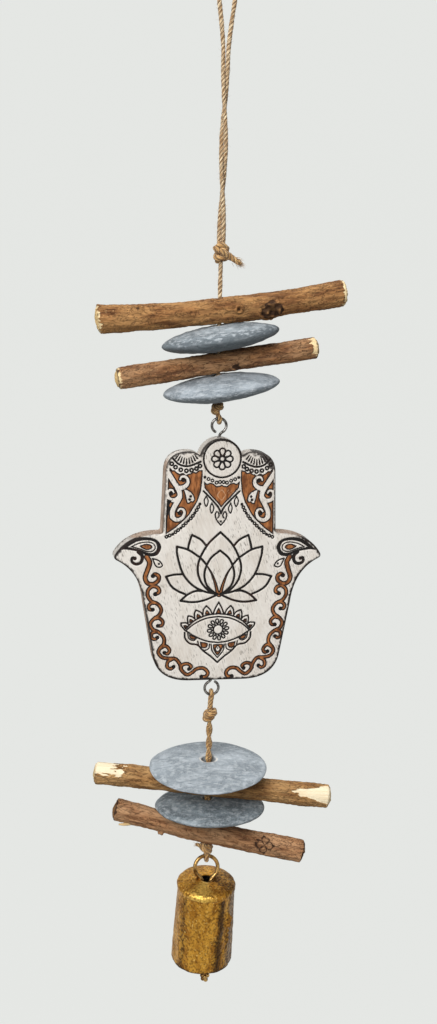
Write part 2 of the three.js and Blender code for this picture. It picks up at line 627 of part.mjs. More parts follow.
addPiece("bell_shell", bellShell(), "brass", bell);
addPiece("bell_ring", tube(ringRoute(), RING_WIRE, RING_STEPS), "brass", bell);
const bellClapper = addPiece("clapper", clapper(), "brass", bell);
bellClapper.position.set(0, 0, -HOOK_DROP - HOOK_RADIUS).add(crown);
bellClapper.rotation.x = -bell.rotation.x; // it hangs plumb

export default object;
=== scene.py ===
# %% [markdown]
# # A hanging hand charm with sticks, pebbles and a bell
#
# The solid model already says where every piece hangs and how it moves. This lesson gives each piece
# a finer surface and a finish, lets it ride on the body that carries it, and names the solid that it
# stands for. All lengths here are millimetres, as on a bench; a mesh is turned into metres when it
# is stored.

# %% Load the frame
import json
import math

import bpy
import numpy as np
from mathutils import Matrix, Vector
from mathutils.geometry import delaunay_2d_cdt


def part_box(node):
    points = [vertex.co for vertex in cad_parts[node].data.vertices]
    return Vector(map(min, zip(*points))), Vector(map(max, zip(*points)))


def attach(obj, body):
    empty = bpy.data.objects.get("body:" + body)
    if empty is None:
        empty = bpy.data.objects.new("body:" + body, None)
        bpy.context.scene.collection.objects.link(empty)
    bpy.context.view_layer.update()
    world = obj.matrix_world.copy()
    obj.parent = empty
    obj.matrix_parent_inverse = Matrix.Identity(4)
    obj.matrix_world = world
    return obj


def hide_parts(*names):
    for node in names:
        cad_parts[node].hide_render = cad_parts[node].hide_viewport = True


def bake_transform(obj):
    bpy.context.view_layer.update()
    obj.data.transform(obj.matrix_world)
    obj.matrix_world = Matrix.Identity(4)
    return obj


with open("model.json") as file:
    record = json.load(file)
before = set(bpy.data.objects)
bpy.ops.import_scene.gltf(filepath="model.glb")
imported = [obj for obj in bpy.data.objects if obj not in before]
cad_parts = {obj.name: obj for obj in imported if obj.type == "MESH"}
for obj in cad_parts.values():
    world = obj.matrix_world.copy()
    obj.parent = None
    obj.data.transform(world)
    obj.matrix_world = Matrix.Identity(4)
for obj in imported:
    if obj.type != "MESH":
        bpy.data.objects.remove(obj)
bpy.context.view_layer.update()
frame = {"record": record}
record = frame["record"]
HANG = {joint["name"]: 1000 * np.array(joint["pos_m"]) for joint in record["behaviour"]["joints"]}


def middle_of(solid):
    """The middle of a solid's box at rest, in millimetres."""
    low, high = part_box(solid)
    return 500 * (np.array(low) + np.array(high))


# %% [markdown]
# ## The camera
#
# A camera could be aimed with a tracking constraint, but a written-out turn is easier to check. The
# three axes come from a heading, a dip and a small roll, and they are the columns of its matrix.

# %% Camera
EYE = np.array([-111.1, -630.3, -151.7])
HEADING, DIP, ROLL = np.radians([10.17, 10.12, 1.43])
FOCAL_SHARE = 1300 / 1024  # focal length as a share of the picture's height

ahead = np.array([math.sin(HEADING) * math.cos(DIP), math.cos(HEADING) * math.cos(DIP), -math.sin(DIP)])
level = np.array([math.cos(HEADING), -math.sin(HEADING), 0.0])
upright = np.cross(level, ahead)
across = math.cos(ROLL) * level + math.sin(ROLL) * upright
upward = math.cos(ROLL) * upright - math.sin(ROLL) * level

lens = bpy.data.cameras.new("camera")
lens.sensor_fit, lens.sensor_height, lens.lens = "VERTICAL", 36.0, 36.0 * FOCAL_SHARE
lens.clip_start = 0.01
camera = bpy.data.objects.new("camera", lens)
turn = np.eye(4)
turn[:3, 0], turn[:3, 1], turn[:3, 2], turn[:3, 3] = across, upward, -ahead, EYE / 1000
camera.matrix_world = Matrix(turn)
bpy.context.collection.objects.link(camera)
bpy.context.scene.camera = camera
bpy.context.scene.view_settings.view_transform = "Standard"
print("camera at", EYE, "lens", round(lens.lens, 2))

# %% [markdown]
# ## Helpers for meshes
#
# Every surface below is a grid of points worked out at once. A patch is a dictionary: its points, its
# faces and any values that a finish reads at each point. Several patches make one piece.

# %% Helpers: numbers
def unit(vectors):
    """Each vector divided by its own length."""
    return vectors / np.linalg.norm(vectors, axis=-1, keepdims=True)


def ramp(low, high, x):
    """0 below low, 1 above high, and the smooth cubic 3t² - 2t³ between them."""
    t = np.clip((x - low) / (high - low), 0, 1)
    return t * t * (3 - 2 * t)


def waves(points, size, seed, count=26):
    """Smooth noise, mean 0 and spread 1: the sum of plane waves in random directions, each about
    size long; size may differ by axis, which stretches the pattern."""
    rng = np.random.default_rng(seed)
    heading = unit(rng.normal(size=(count, 3))) / rng.uniform(0.7, 1.4, (count, 1))
    phase = rng.uniform(0, 2 * np.pi, count)
    pace = 2 * np.pi * heading / np.broadcast_to(size, 3)
    return np.cos(np.asarray(points) @ pace.T + phase).sum(-1) * math.sqrt(2 / count)


def way_along(path):
    """The length from the start of a path to each of its points."""
    return np.concatenate([[0], np.cumsum(np.linalg.norm(np.diff(path, axis=0), axis=1))])


def even_turn(count):
    """Angles from 0 at equal steps, once round."""
    return np.arange(count) * 2 * np.pi / count


# %% Helpers: patches
def grid_faces(rows, columns):
    """Quads between neighbouring rows and columns; the last column joins the first."""
    row = np.arange(rows - 1)[:, None] * columns
    here = np.arange(columns)[None]
    there = (here + 1) % columns
    quads = np.stack([row + here, row + there, row + there + columns, row + here + columns], -1)
    return quads.reshape(-1, 4)


def closed_grid(points, **values):
    """A patch from rows of rings, with a point in the middle of the first and the last ring."""
    rows, columns = points.shape[:2]
    ends = np.stack([points[0].mean(0), points[-1].mean(0)])
    ring = np.arange(columns)
    follow = (ring + 1) % columns
    count, last = rows * columns, (rows - 1) * columns
    first_fan = np.stack([follow, ring, np.full(columns, count)], -1)
    last_fan = np.stack([ring + last, follow + last, np.full(columns, count + 1)], -1)
    patch = {"points": np.concatenate([points.reshape(-1, 3), ends])}
    patch["faces"] = [grid_faces(rows, columns), first_fan, last_fan]
    for key, value in values.items():
        value = np.broadcast_to(value, points.shape if np.ndim(value) == 3 else points.shape[:2])
        patch[key] = np.concatenate([value.reshape(count, -1), value[[0, -1]].mean(1).reshape(2, -1)])
    return patch


# %% Helpers: pieces
def add_piece(name, patches, finish, body, stands_for=(), bend=None):
    """Joins patches into one mesh in metres, gives it its finish and lets it ride on a body; a piece given
    a bend is only set in place and rides on no body."""
    starts = np.cumsum([0] + [len(patch["points"]) for patch in patches])
    faces = [part + start for patch, start in zip(patches, starts) for part in patch["faces"]]
    corners = np.concatenate([part.ravel() for part in faces]).astype(np.int32)
    sides = np.concatenate([np.full(len(part), part.shape[1]) for part in faces])
    mesh = bpy.data.meshes.new(name)
    mesh.vertices.add(starts[-1])
    mesh.vertices.foreach_set("co", np.concatenate([p["points"] for p in patches]).ravel() / 1000)
    mesh.loops.add(len(corners))
    mesh.loops.foreach_set("vertex_index", corners)
    mesh.polygons.add(len(sides))
    mesh.polygons.foreach_set("loop_start", np.concatenate([[0], np.cumsum(sides)[:-1]]).astype(np.int32))
    mesh.polygons.foreach_set("use_smooth", np.ones(len(sides), bool))
    mesh.update(calc_edges=True)
    for key in sorted(patches[0].keys() - {"points", "faces"}):
        value = np.concatenate([np.asarray(p[key]).reshape(len(p["points"]), -1) for p in patches])
        kind, field = ("FLOAT_VECTOR", "vector") if value.shape[1] == 3 else ("FLOAT", "value")
        mesh.attributes.new(key, kind, "POINT").data.foreach_set(field, value.astype(np.float32).ravel())
    mesh.materials.append(finish)
    piece = bpy.data.objects.new(name, mesh)
    bpy.context.collection.objects.link(piece)
    if bend:
        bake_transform(piece)
    else:
        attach(piece, body)
    if stands_for:
        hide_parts(*stands_for)
    print(f"{name}: {len(mesh.vertices)} points, {int((sides - 2).sum())} triangles, on {body}")
    return piece


# %% [markdown]
# ## Helpers for finishes
#
# A finish is a tree of shader nodes. Grain and veins turn up in almost every material here, so each
# of them is a node group that is built once and placed with its own sizes.

# %% Helpers: shader nodes
def ink(code):
    """A printed colour, RRGGBB, as linear light: the sRGB curve undone."""
    printed = np.array([int(code[i : i + 2], 16) for i in (0, 2, 4)]) / 255
    linear = np.where(printed <= 0.04045, printed / 12.92, ((printed + 0.055) / 1.055) ** 2.4)
    return (*map(float, linear), 1.0)


def node(tree, kind, inputs=None, **settings):
    """A shader node; an input is a value, or another node's output, which is linked."""
    made = tree.nodes.new("ShaderNode" + kind)
    for key, value in settings.items():
        setattr(made, key, value)
    for key, value in (inputs or {}).items():
        if isinstance(value, bpy.types.NodeSocket):
            tree.links.new(value, made.inputs[key])
        else:
            made.inputs[key].default_value = value
    return made


def new_group(name, inputs, outputs):
    """An empty shader node group with named sockets, and its inner input and output nodes."""
    tree = bpy.data.node_groups.new(name, "ShaderNodeTree")
    for way, sockets in (("INPUT", inputs), ("OUTPUT", outputs)):
        for socket, (kind, value) in sockets.items():
            made = tree.interface.new_socket(socket, in_out=way, socket_type="NodeSocket" + kind)
            if value is not None:
                made.default_value = value
    return tree, tree.nodes.new("NodeGroupInput").outputs, tree.nodes.new("NodeGroupOutput")


# %% Helpers: the shared groups
PLACE = {"Place": ("Vector", None), "Size": ("Vector", (1.0, 1.0, 1.0))}
grain_group, given, out = new_group(
    "grain",
    PLACE | {"Detail": ("Float", 3.0), "Low": ("Float", 0.4), "High": ("Float", 0.6)},
    {"Mask": ("Float", None)},
)
scaled = node(grain_group, "VectorMath", {0: given["Place"], 1: given["Size"]}, operation="DIVIDE")
cloud = node(grain_group, "TexNoise", {"Vector": scaled.outputs[0], "Detail": given["Detail"],
                                       "Scale": 1.0})
spread = node(grain_group, "MapRange", {0: cloud.outputs[0], 1: given["Low"], 2: given["High"]},
              interpolation_type="SMOOTHSTEP")
grain_group.links.new(spread.outputs[0], out.inputs["Mask"])

vein_group, given, out = new_group(
    "veins",
    PLACE | {"Warp": ("Float", 1.0), "Width": ("Float", 0.03)},
    {"Mask": ("Float", None)},
)
scaled = node(vein_group, "VectorMath", {0: given["Place"], 1: given["Size"]}, operation="DIVIDE")
cloud = node(vein_group, "TexNoise", {"Vector": scaled.outputs[0], "Scale": 1.0, "Detail": 2.0,
                                      "Distortion": given["Warp"]})
level_off = node(vein_group, "Math", {0: cloud.outputs[0], 1: 0.5}, operation="SUBTRACT")
apart = node(vein_group, "Math", {0: level_off.outputs[0]}, operation="ABSOLUTE")
line = node(vein_group, "MapRange", {0: apart.outputs[0], 1: 0.0, 2: given["Width"], 3: 1.0, 4: 0.0},
            interpolation_type="SMOOTHSTEP")
vein_group.links.new(line.outputs[0], out.inputs["Mask"])


# %% Helpers: steps of a finish
def new_finish(name, **constants):
    """An empty material and its Principled shader, with the constants set on its own sockets."""
    finish = bpy.data.materials.new(name)
    finish.use_nodes = True
    shader = finish.node_tree.nodes["Principled BSDF"]
    for key, value in constants.items():
        shader.inputs[key.replace("_", " ")].default_value = value
    return finish.node_tree, shader, finish


def grain(tree, place, size, low=0.4, high=0.6, detail=3.0):
    """Stretched cloud noise: place divided by size, and the noise between low and high as 0 to 1."""
    made = node(tree, "Group", node_tree=grain_group)
    tree.links.new(place, made.inputs["Place"])
    made.inputs["Size"].default_value = np.broadcast_to(size, 3)
    for key, value in (("Low", low), ("High", high), ("Detail", detail)):
        made.inputs[key].default_value = value
    return made.outputs["Mask"]


def veins(tree, place, size, warp=1.0, width=0.03):
    """Thin lines where the cloud noise crosses its middle value."""
    made = node(tree, "Group", node_tree=vein_group)
    tree.links.new(place, made.inputs["Place"])
    made.inputs["Size"].default_value = np.broadcast_to(size, 3)
    made.inputs["Warp"].default_value, made.inputs["Width"].default_value = warp, width
    return made.outputs["Mask"]


def mix(tree, share, first, second):
    """Between two colours, by a share from 0 to 1."""
    return node(tree, "Mix", {0: share, 6: first, 7: second}, data_type="RGBA").outputs[2]


def math_of(tree, operation, first, second=0.0):
    """One arithmetic step on values."""
    return node(tree, "Math", {0: first, 1: second}, operation=operation).outputs[0]


def tint(tree, tone, mask, code, share=None):
    """A tone mixed towards a printed colour, by a mask or by a share of it."""
    amount = mask if share is None else math_of(tree, "MULTIPLY", mask, share)
    return mix(tree, amount, tone, ink(code))


def object_place(tree):
    """The place in the object's own frame, in millimetres."""
    metres = node(tree, "TexCoord").outputs["Object"]
    return node(tree, "VectorMath", {0: metres, 1: (1000.0,) * 3}, operation="MULTIPLY").outputs[0]


def attribute(tree, name, output="Fac"):
    """A value that the mesh carries at its points."""
    return node(tree, "Attribute", attribute_name=name).outputs[output]


def span(tree, value, low, high, start=0.0, end=1.0):
    """A value between low and high, spread smoothly from start to end."""
    inputs = {0: value, 1: low, 2: high, 3: start, 4: end}
    return node(tree, "MapRange", inputs, interpolation_type="SMOOTHSTEP").outputs[0]


def relief(tree, shader, height, distance):
    """A bump on the shader's normal; distance is the height of a value of 1, in millimetres."""
    bump = node(tree, "Bump", {"Height": height, "Distance": distance / 1000, "Strength": 1.0})
    tree.links.new(bump.outputs[0], shader.inputs["Normal"])


print("node groups:", [tree.name for tree in bpy.data.node_groups])

# %% [markdown]
# ## The stage
#
# The real charm hangs before a pale wall in soft daylight from the upper left. A floor that sweeps up
# into a wall gives one even tone with no corner. It is one-sided, so that views from behind look
# through it, and its own camera tone keeps the background pale without more light on the charm.

# %% Backdrop shape
FLOOR, FRONT, WALL, TOP = -600.0, -2200.0, 900.0, 900.0  # floor's height, front edge, wall, wall's top
BEND = 400.0  # radius between floor and wall


def sweep_profile():
    """Floor, quarter round and wall: y and z along the sweep."""
    turn = np.linspace(0, np.pi / 2, 24)
    floor = np.stack([np.linspace(FRONT, WALL - BEND, 12), np.full(12, FLOOR)], -1)
    bend = np.stack([WALL - BEND + BEND * np.sin(turn), FLOOR + BEND - BEND * np.cos(turn)], -1)
    wall = np.stack([np.full(6, WALL), np.linspace(FLOOR + BEND + 50, TOP, 6)], -1)
    return np.concatenate([floor, bend, wall])


profile = sweep_profile()
width = np.linspace(FRONT, -FRONT, 9)
sheet = np.empty((len(profile), len(width), 3))
sheet[..., 0], sheet[..., 1:] = width, profile[:, None]
sheet_faces = grid_faces(*sheet.shape[:2]).reshape(len(profile) - 1, len(width), 4)
sheet_faces = sheet_faces[:, :-1].reshape(-1, 4)  # its last column doesn't join the first
mesh = bpy.data.meshes.new("backdrop")
mesh.from_pydata(sheet.reshape(-1, 3) / 1000, [], sheet_faces.tolist())
mesh.polygons.foreach_set("use_smooth", np.ones(len(sheet_faces), bool))
backdrop = bpy.data.objects.new("backdrop", mesh)
bpy.context.collection.objects.link(backdrop)
print("backdrop of", len(sheet_faces), "faces")

# %% Backdrop finish
WALL_TONE, WALL_GLOW = ink("E9EBE8"), 1.02
GLOW_SHARE = 0.92  # the rest of its tone is the light that falls on it
tree, shader, wall_finish = new_finish("pale_wall", Roughness=0.9, Base_Color=ink("8A8B89"))
rays = node(tree, "LightPath").outputs
seen = math_of(tree, "MAXIMUM", rays["Is Camera Ray"], rays["Is Glossy Ray"])
seen = math_of(tree, "MAXIMUM", seen, rays["Is Transmission Ray"])
glow = node(tree, "Emission", {"Color": WALL_TONE, "Strength": WALL_GLOW})
own_tone = math_of(tree, "MULTIPLY", seen, GLOW_SHARE)
lit = node(tree, "MixShader", {0: own_tone, 1: shader.outputs[0], 2: glow.outputs[0]})
behind = node(tree, "NewGeometry").outputs["Backfacing"]
clear = node(tree, "BsdfTransparent")
one_sided = node(tree, "MixShader", {0: behind, 1: lit.outputs[0], 2: clear.outputs[0]})
tree.links.new(one_sided.outputs[0], tree.nodes["Material Output"].inputs[0])
mesh.materials.append(wall_finish)
print("backdrop finish", wall_finish.name)

# %% Lamps and sky
LAMPS = {  # place in metres, width, power
    "window": ((-0.6, -0.95, 0.35), 0.8, 15.2),
    "ceiling": ((-0.2, -0.4, 0.9), 0.6, 5.5),
    "room": ((0.9, -0.9, -0.2), 0.9, 1.5),
    "behind": ((0.4, 0.7, 0.85), 0.6, 6.0),
}
LAMP_AIM = Vector((0, 0, -0.3))
SKY_LIGHT, SKY_SEEN, SKY_MIRRORED = 0.2, 0.6, 0.35  # the last two are added where it is seen or mirrored


def add_lamp(name, place, size, power):
    """A square soft lamp at a place, turned so that it looks at the aim."""
    lamp = bpy.data.lights.new(name, "AREA")
    lamp.shape, lamp.size, lamp.energy = "SQUARE", size, power
    made = bpy.data.objects.new(name, lamp)
    made.matrix_world = Matrix.Translation(place) @ (
        (LAMP_AIM - Vector(place)).to_track_quat("-Z", "Y").to_matrix().to_4x4())
    bpy.context.collection.objects.link(made)


for name, lamp in LAMPS.items():
    add_lamp(name, *lamp)
sky = bpy.data.worlds.new("sky")
sky.use_nodes = True
sky.node_tree.nodes["Background"].inputs[0].default_value = (0.96, 0.98, 1.0, 1.0)
rays = node(sky.node_tree, "LightPath").outputs
looked_at = math_of(sky.node_tree, "MULTIPLY", rays["Is Camera Ray"], SKY_SEEN)
mirrored_in = math_of(sky.node_tree, "MULTIPLY", rays["Is Glossy Ray"], SKY_MIRRORED)
strength = math_of(sky.node_tree, "ADD", math_of(sky.node_tree, "ADD", looked_at, mirrored_in), SKY_LIGHT)
sky.node_tree.links.new(strength, sky.node_tree.nodes["Background"].inputs[1])
bpy.context.scene.world = sky
print(len(LAMPS), "lamps")

# %% [markdown]
# ## Jute cord
#
# Jute twine is three plies laid round each other, so its edge is a row of slanting lobes. A curve with
# a round bevel would look like wire. Here the section itself has a lobe for each ply, and it turns as
# it goes along the path. Each point also carries its place as if the twine were unlaid, and the
# fibres of the finish follow the plies by it.

# %% Jute finish
def jute_finish(name, dark, pale, blotch):
    """Fibres along the plies between a dark and a pale tone, blotches of a third, and painted shade in the
    valleys between the plies.
    """
    tree, shader, finish = new_finish(name, Roughness=0.95, Sheen_Weight=0.25, Sheen_Roughness=0.6)
    strand = attribute(tree, "strand", "Vector")
    fibre = grain(tree, strand, (0.45, 0.45, 2.6), 0.38, 0.62, 4.0)
    patchy = grain(tree, strand, (3.0, 3.0, 14.0), 0.35, 0.7, 2.0)
    tone = mix(tree, fibre, ink(dark), ink(pale))
    tone = tint(tree, tone, patchy, blotch, 0.4)
    # painted shade: the valleys between the plies, and the cores of knots, are darkened as if in shade
    valley = attribute(tree, "valley")
    tone = tint(tree, tone, span(tree, valley, 0.2, 0.85, 0.0, 0.8), "4E3214")
    tree.links.new(tone, shader.inputs["Base Color"])
    relief(tree, shader, fibre, 0.12)
    return finish


JUTE = jute_finish("jute", "8A6132", "F4DDB4", "B98C58")
GOLDEN_JUTE = jute_finish("jute_in_knots", "86571F", "EBC384", "B67F3E")

# %% Twine: paths and tubes
def smooth_path(points, step):
    """A cubic through every point, whose slope at a point is half the step from the one before it to
    the one after it, then points at equal steps along it."""
    points = np.asarray(points, float)
    fence = np.concatenate([[2 * points[0] - points[1]], points, [2 * points[-1] - points[-2]]])
    a, b, c, d = fence[:-3], fence[1:-2], fence[2:-1], fence[3:]
    t = np.linspace(0, 1, 32, endpoint=False)[:, None, None]
    curve = 0.5 * (2 * b + (c - a) * t + (2 * a - 5 * b + 4 * c - d) * t**2
                   + (3 * b - a - 3 * c + d) * t**3)
    curve = np.concatenate([curve.transpose(1, 0, 2).reshape(-1, points.shape[1]), points[-1:]])
    along = way_along(curve)
    places = np.linspace(0, along[-1], max(3, int(round(along[-1] / step)) + 1))
    return np.stack([np.interp(places, along, curve[:, k]) for k in range(points.shape[1])], -1)


def path_length(path):
    """The whole length of a path."""
    return float(way_along(path)[-1])


def swept(path, beside, radius, columns):
    """A tube: each ring lies across the path, from the direction nearest to beside, at a radius given
    by ring and column."""
    forward = unit(np.gradient(path, axis=0))
    side = unit(beside - (beside * forward).sum(-1, keepdims=True) * forward)
    over = np.cross(forward, side)
    angle = even_turn(columns)
    spoke = np.cos(angle)[:, None] * side[:, None] + np.sin(angle)[:, None] * over[:, None]
    return path[:, None] + np.broadcast_to(radius, (len(path), columns))[..., None] * spoke


# %% Twine: the laid section
def twine(path, beside, diameter, lay=7.0, plies=3, columns=24, taper=1.0, seed=0):
    """Laid cord: the radius is 0.84 of the full one in a valley and the full one on a ply, by the
    cosine of the angle from the nearest ply, and the plies turn once in each lay length."""
    steps = way_along(path)
    angle = even_turn(columns)
    unlaid = angle - 2 * np.pi * steps[:, None] / lay
    lobe = np.abs(np.cos(plies * unlaid / 2))
    uneven = 1 + 0.05 * waves(path + seed, 6.0, 11)[:, None] * np.ones(columns)
    radius = diameter / 2 * (0.84 + 0.16 * lobe**0.8) * uneven * np.reshape(taper, (-1, 1))
    strand = np.stack([radius * np.cos(unlaid), radius * np.sin(unlaid),
                       steps[:, None] + seed + 0 * radius], -1)
    # valley tells the finish where to paint shade between the plies
    return closed_grid(swept(path, beside, radius, columns), strand=strand, valley=1 - lobe)


# %% Hanging loop
CORD = 2.2
LOOP_STRAND = [
    (0.8, 0.5, -135.4), (1.06, 0, -132.4), (0.76, -0.76, -121.8), (0, -1.1, -111.6), (-0.76, -0.76, -102),
    (-1.06, 0, -92.4), (-0.76, 0.76, -82.8), (0, 1.1, -73.2), (0.76, 0.76, -63.6), (1.06, 0, -54),
    (1.3, 0, -44), (2.4, 0, -33), (3.7, 0, -23), (4.9, 0, -12.5), (5.5, 0, -6), (4.2, 0, -0.9),
]
right_strand = np.array(LOOP_STRAND)
left_strand = right_strand[::-1] * (-1, -1, 1)
loop_path = smooth_path(np.concatenate([right_strand, [(0, 0, 1.1)], left_strand]), 0.4)
AWAY = np.array([0.0, 1.0, 0.0])
hanging_loop = add_piece("loop_twine", [twine(loop_path, AWAY, CORD)], JUTE, "upper_string",
                         ["hanging_loop"])
path_length(loop_path) / 1000
print("hanging loop", round(path_length(loop_path), 1), "mm long")

# %% Cords through the stacks
SIDEWAYS = np.array([1.0, 0.0, 0.0])


def plumb(top, foot, step=0.4):
    """A straight path down the cord's line."""
    heights = np.linspace(top, foot, int(abs(top - foot) / step) + 1)
    return np.stack([0 * heights, 0 * heights, heights], -1)


def paired(path, apart, lay, start=0.0):
    """Two paths that turn round a straight one, half a turn from each other, once in each lay."""
    steps = way_along(path)
    angle = start + 2 * np.pi * steps / lay
    round_it = apart / 2 * np.stack([np.cos(angle), np.sin(angle), 0 * angle], -1)
    return path + round_it, path - round_it


upper_low, upper_high = (1000 * np.array(corner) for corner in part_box("upper_cord"))
upper_path = plumb(upper_high[2] + 1.5, upper_low[2] - 1.0)
add_piece("upper_twine", [twine(upper_path, SIDEWAYS, CORD, seed=40)], JUTE, "upper_string",
          ["upper_cord"])

lower_low, lower_high = (1000 * np.array(corner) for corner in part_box("lower_cord"))
lower_path = plumb(lower_high[2] + 1.5, lower_low[2] - 1.0)
pair = paired(lower_path, 1.6, 15.0, 0.6)
laid = [twine(strand, SIDEWAYS, 1.85, lay=5.5, seed=70 + 30 * k) for k, strand in enumerate(pair)]
add_piece("lower_twine_pair", laid, GOLDEN_JUTE, "lower_string", ["lower_cord"])

# %% Small loops through the screw eyes and the bell's ring
EYE_WIRE, RING_WIRE = 1.4, 2.0
LEG_APART = 1.2  # from the middle to a leg, and how far it goes into the knot
WIRE_ROOM = 0.3


def wire_loop(wire_at, leg, wire):
    """Down one leg, half round a wire that runs along X, and back up the other leg; the legs begin
    the leg's length from the wire, and a little further, inside the knot."""
    reach = wire / 2 + WIRE_ROOM + CORD / 2
    angle = np.radians(np.arange(0, 181, 30))
    drop = -np.sign(leg) * reach * np.sin(angle)
    bend = np.stack([0 * angle, -reach * np.cos(angle), drop], -1) + wire_at
    root = wire_at[2] + leg + np.sign(leg) * LEG_APART
    legs = np.array([(0, -LEG_APART, root), (0, LEG_APART, root)])
    return smooth_path(np.concatenate([legs[:1], bend, legs[1:]]), 0.3)


LOOPS = {  # joint at the wire, leg upwards, wire, body, joint at the knot, the knot's body
    "upper_eye_loop": ("hand_nod", 1.7, EYE_WIRE, "upper_link", "hand_swing", "swivel_knot"),
    "lower_eye_loop": ("lower_loop_nod", -6.9, EYE_WIRE, "lower_link", "lower_string_swing",
                       "lower_string"),
    "bell_loop": ("bell_nod", 1.3, RING_WIRE, "bell_link", "bell_swing", "lower_string"),
}
for number, (name, (joint, leg, wire, body, knot_joint, knot_body)) in enumerate(LOOPS.items()):
    loop = twine(wire_loop(HANG[joint], leg, wire), SIDEWAYS, CORD, seed=130 + 20 * number)
    bend = (knot_body, HANG[knot_joint], 0.25 * HANG[knot_joint] + 0.75 * HANG[joint])
    add_piece(name + "_twine", [loop], GOLDEN_JUTE, body, [name], bend)

# %% [markdown]
# ## Knots and frayed ends
#
# A knot pulled tight shows a few fat turns that lean across each other round a hidden core. A curve
# traced through a real overhand knot would lie mostly inside, so only the turns that show are made:
# the cord climbs out of the core, goes round it on a slant, and dives in again.

# %% Knots: turns and core
def knot_path(width, height, turns, slant, start, cord):
    """Round the knot's own axis: the distance out follows a sine to a low power, so it leaves and
    enters the core quickly; the height falls evenly, and swings with the angle by the slant."""
    t = np.linspace(0.015, 0.985, int(90 * turns))
    angle = start + 2 * np.pi * turns * t
    out = (width - cord) / 2 * np.sin(np.pi * t) ** 0.4
    fall = (height - cord) / 2 * (1 - 2 * t) * 0.82
    fall = fall + slant * out * np.cos(angle - start)
    return np.stack([out * np.cos(angle), out * np.sin(angle), fall], -1)


def core(width, height):
    """An egg: rings whose radius is a sine and whose height is a cosine of the angle from the top."""
    polar = np.linspace(0.05, np.pi - 0.05, 20)[::-1, None]
    angle = even_turn(24)[None]
    egg = np.stack([width / 2 * np.sin(polar) * np.cos(angle), width / 2 * np.sin(polar) * np.sin(angle),
                    height / 2 * np.cos(polar) + 0 * angle], -1)
    # painted shade: the whole core counts as deep in a valley, so it is painted dark like the shade between
    # the turns
    return closed_grid(egg, strand=egg, valley=np.full(egg.shape[:2], 0.9))


def moved(patch, place):
    """The same patch at another place."""
    return patch | {"points": patch["points"] + place}


# %% Tie the knots
KNOTS = {  # width, height, cord, its turns as (how many, slant, first angle), body
    "upper_knot": (8.2, 12.0, 2.9, ((2.1, 0.55, 0.4), (2.1, 0.55, 3.5), (1.2, -0.8, 2.0)), "upper_string"),
    "eye_knot": (6.7, 6.0, 2.0, ((1.7, 0.45, 1.0), (1.2, -0.7, 4.0)), "swivel_knot"),
    "lower_knot": (7.8, 7.8, 2.4, ((1.8, 0.5, 0.2), (1.5, -0.6, 3.3)), "lower_string"),
    "bell_knot": (7.5, 6.2, 2.0, ((2.0, 0.2, 2.2), (1.3, -0.4, 5.3)), "lower_string"),
}
for number, (name, (wide, tall, thick, turns, body)) in enumerate(KNOTS.items()):
    patches = [core(wide - 1.6 * thick, tall - 0.8 * thick)]
    for count, slant, start in turns:
        path = knot_path(wide, tall, count, slant, start, thick)
        seed = 200 + 17 * number + 5 * start
        patches.append(twine(path, path * (1, 1, 0.3), thick, lay=8.0, columns=20, seed=seed))
    knot_at = middle_of(name)
    tied = [moved(patch, knot_at) for patch in patches]
    add_piece(name + "_turns", tied, GOLDEN_JUTE, body, [name])

# %% Hairs
def hairs(roots, headings, length, thick, curl, seed):
    """Thin three-sided hairs: each runs from its root along its heading and bends aside as the square
    of the way along it, and ends in a point."""
    rng = np.random.default_rng(seed)
    count, rows = len(roots), 6
    t = np.linspace(0, 1, rows)
    aside = unit(np.cross(headings, unit(rng.normal(size=(count, 3)))))
    long = length * rng.uniform(0.5, 1.1, (count, 1, 1))
    bend = curl * aside[:, None] * (t**2)[:, None]
    line = roots[:, None] + long * (headings[:, None] * t[:, None] + bend)
    other = np.cross(headings, aside)
    angle = even_turn(3)
    spoke = np.cos(angle)[:, None] * aside[:, None] + np.sin(angle)[:, None] * other[:, None]
    radius = thick / 2 * (1 - 0.85 * t)[:, None, None]
    points = line[:, :, None] + radius * spoke[:, None]
    faces = grid_faces(rows, 3)[None] + (np.arange(count) * rows * 3)[:, None, None]
    tips = (np.arange(count) * rows * 3)[:, None] + (rows - 1) * 3 + np.arange(3)
    return {"points": points.reshape(-1, 3), "faces": [faces.reshape(-1, 4), tips],
            "strand": points.reshape(-1, 3), "valley": np.zeros(points.size // 3)}


# %% Frayed tails
def tail(lead, root, heading, length, thick, seed, count):
    """A stub of twine over the lead's points and out along a heading, loosest half way, and a brush of
    hairs from its end."""
    heading = unit(np.array(heading, float))
    ahead = root + heading * length * np.array([[0.0], [0.4], [0.75]])
    path = smooth_path(np.concatenate([lead, ahead]), 0.35)
    loose = np.interp(np.linspace(0, 1, len(path)), [0, 0.55, 1], [0.72, 1, 0.8])
    stub = twine(path, np.array([0.0, 1.0, 0.2]), thick, taper=loose, seed=seed)
    rng = np.random.default_rng(seed)
    roots = root + heading * rng.uniform(0.4, 0.75, (count, 1)) * length
    roots = roots + rng.normal(0, 0.22 * thick, (count, 3))
    brush = hairs(roots, unit(heading + rng.normal(0, 0.25, (count, 3))), 0.4 * length, 0.28, 0.3, seed)
    return [stub, brush]


upper_knot_at, bell_knot_at = middle_of("upper_knot"), middle_of("bell_knot")
upper_lead = upper_knot_at + np.array([(-1.4, -3.4, 0.9), (1.0, -3.5, -0.4)])
upper_tail = tail(upper_lead, upper_knot_at + (3.6, -1.6, -1.8), (0.84, 0.02, -0.5), 8.2, 3.4, 301, 90)
add_piece("upper_tail", upper_tail, GOLDEN_JUTE, "upper_string", ["upper_knot_tail"])
bell_lead = [bell_knot_at + (-1.5, -0.5, 0.4)]
bell_tail = tail(bell_lead, bell_knot_at + (-2.9, -0.6, 1.1), (-0.9, -0.1, 0.45), 4.0, 2.3, 302, 26)
add_piece("bell_tail", bell_tail, GOLDEN_JUTE, "lower_string", ["bell_knot_tail"])


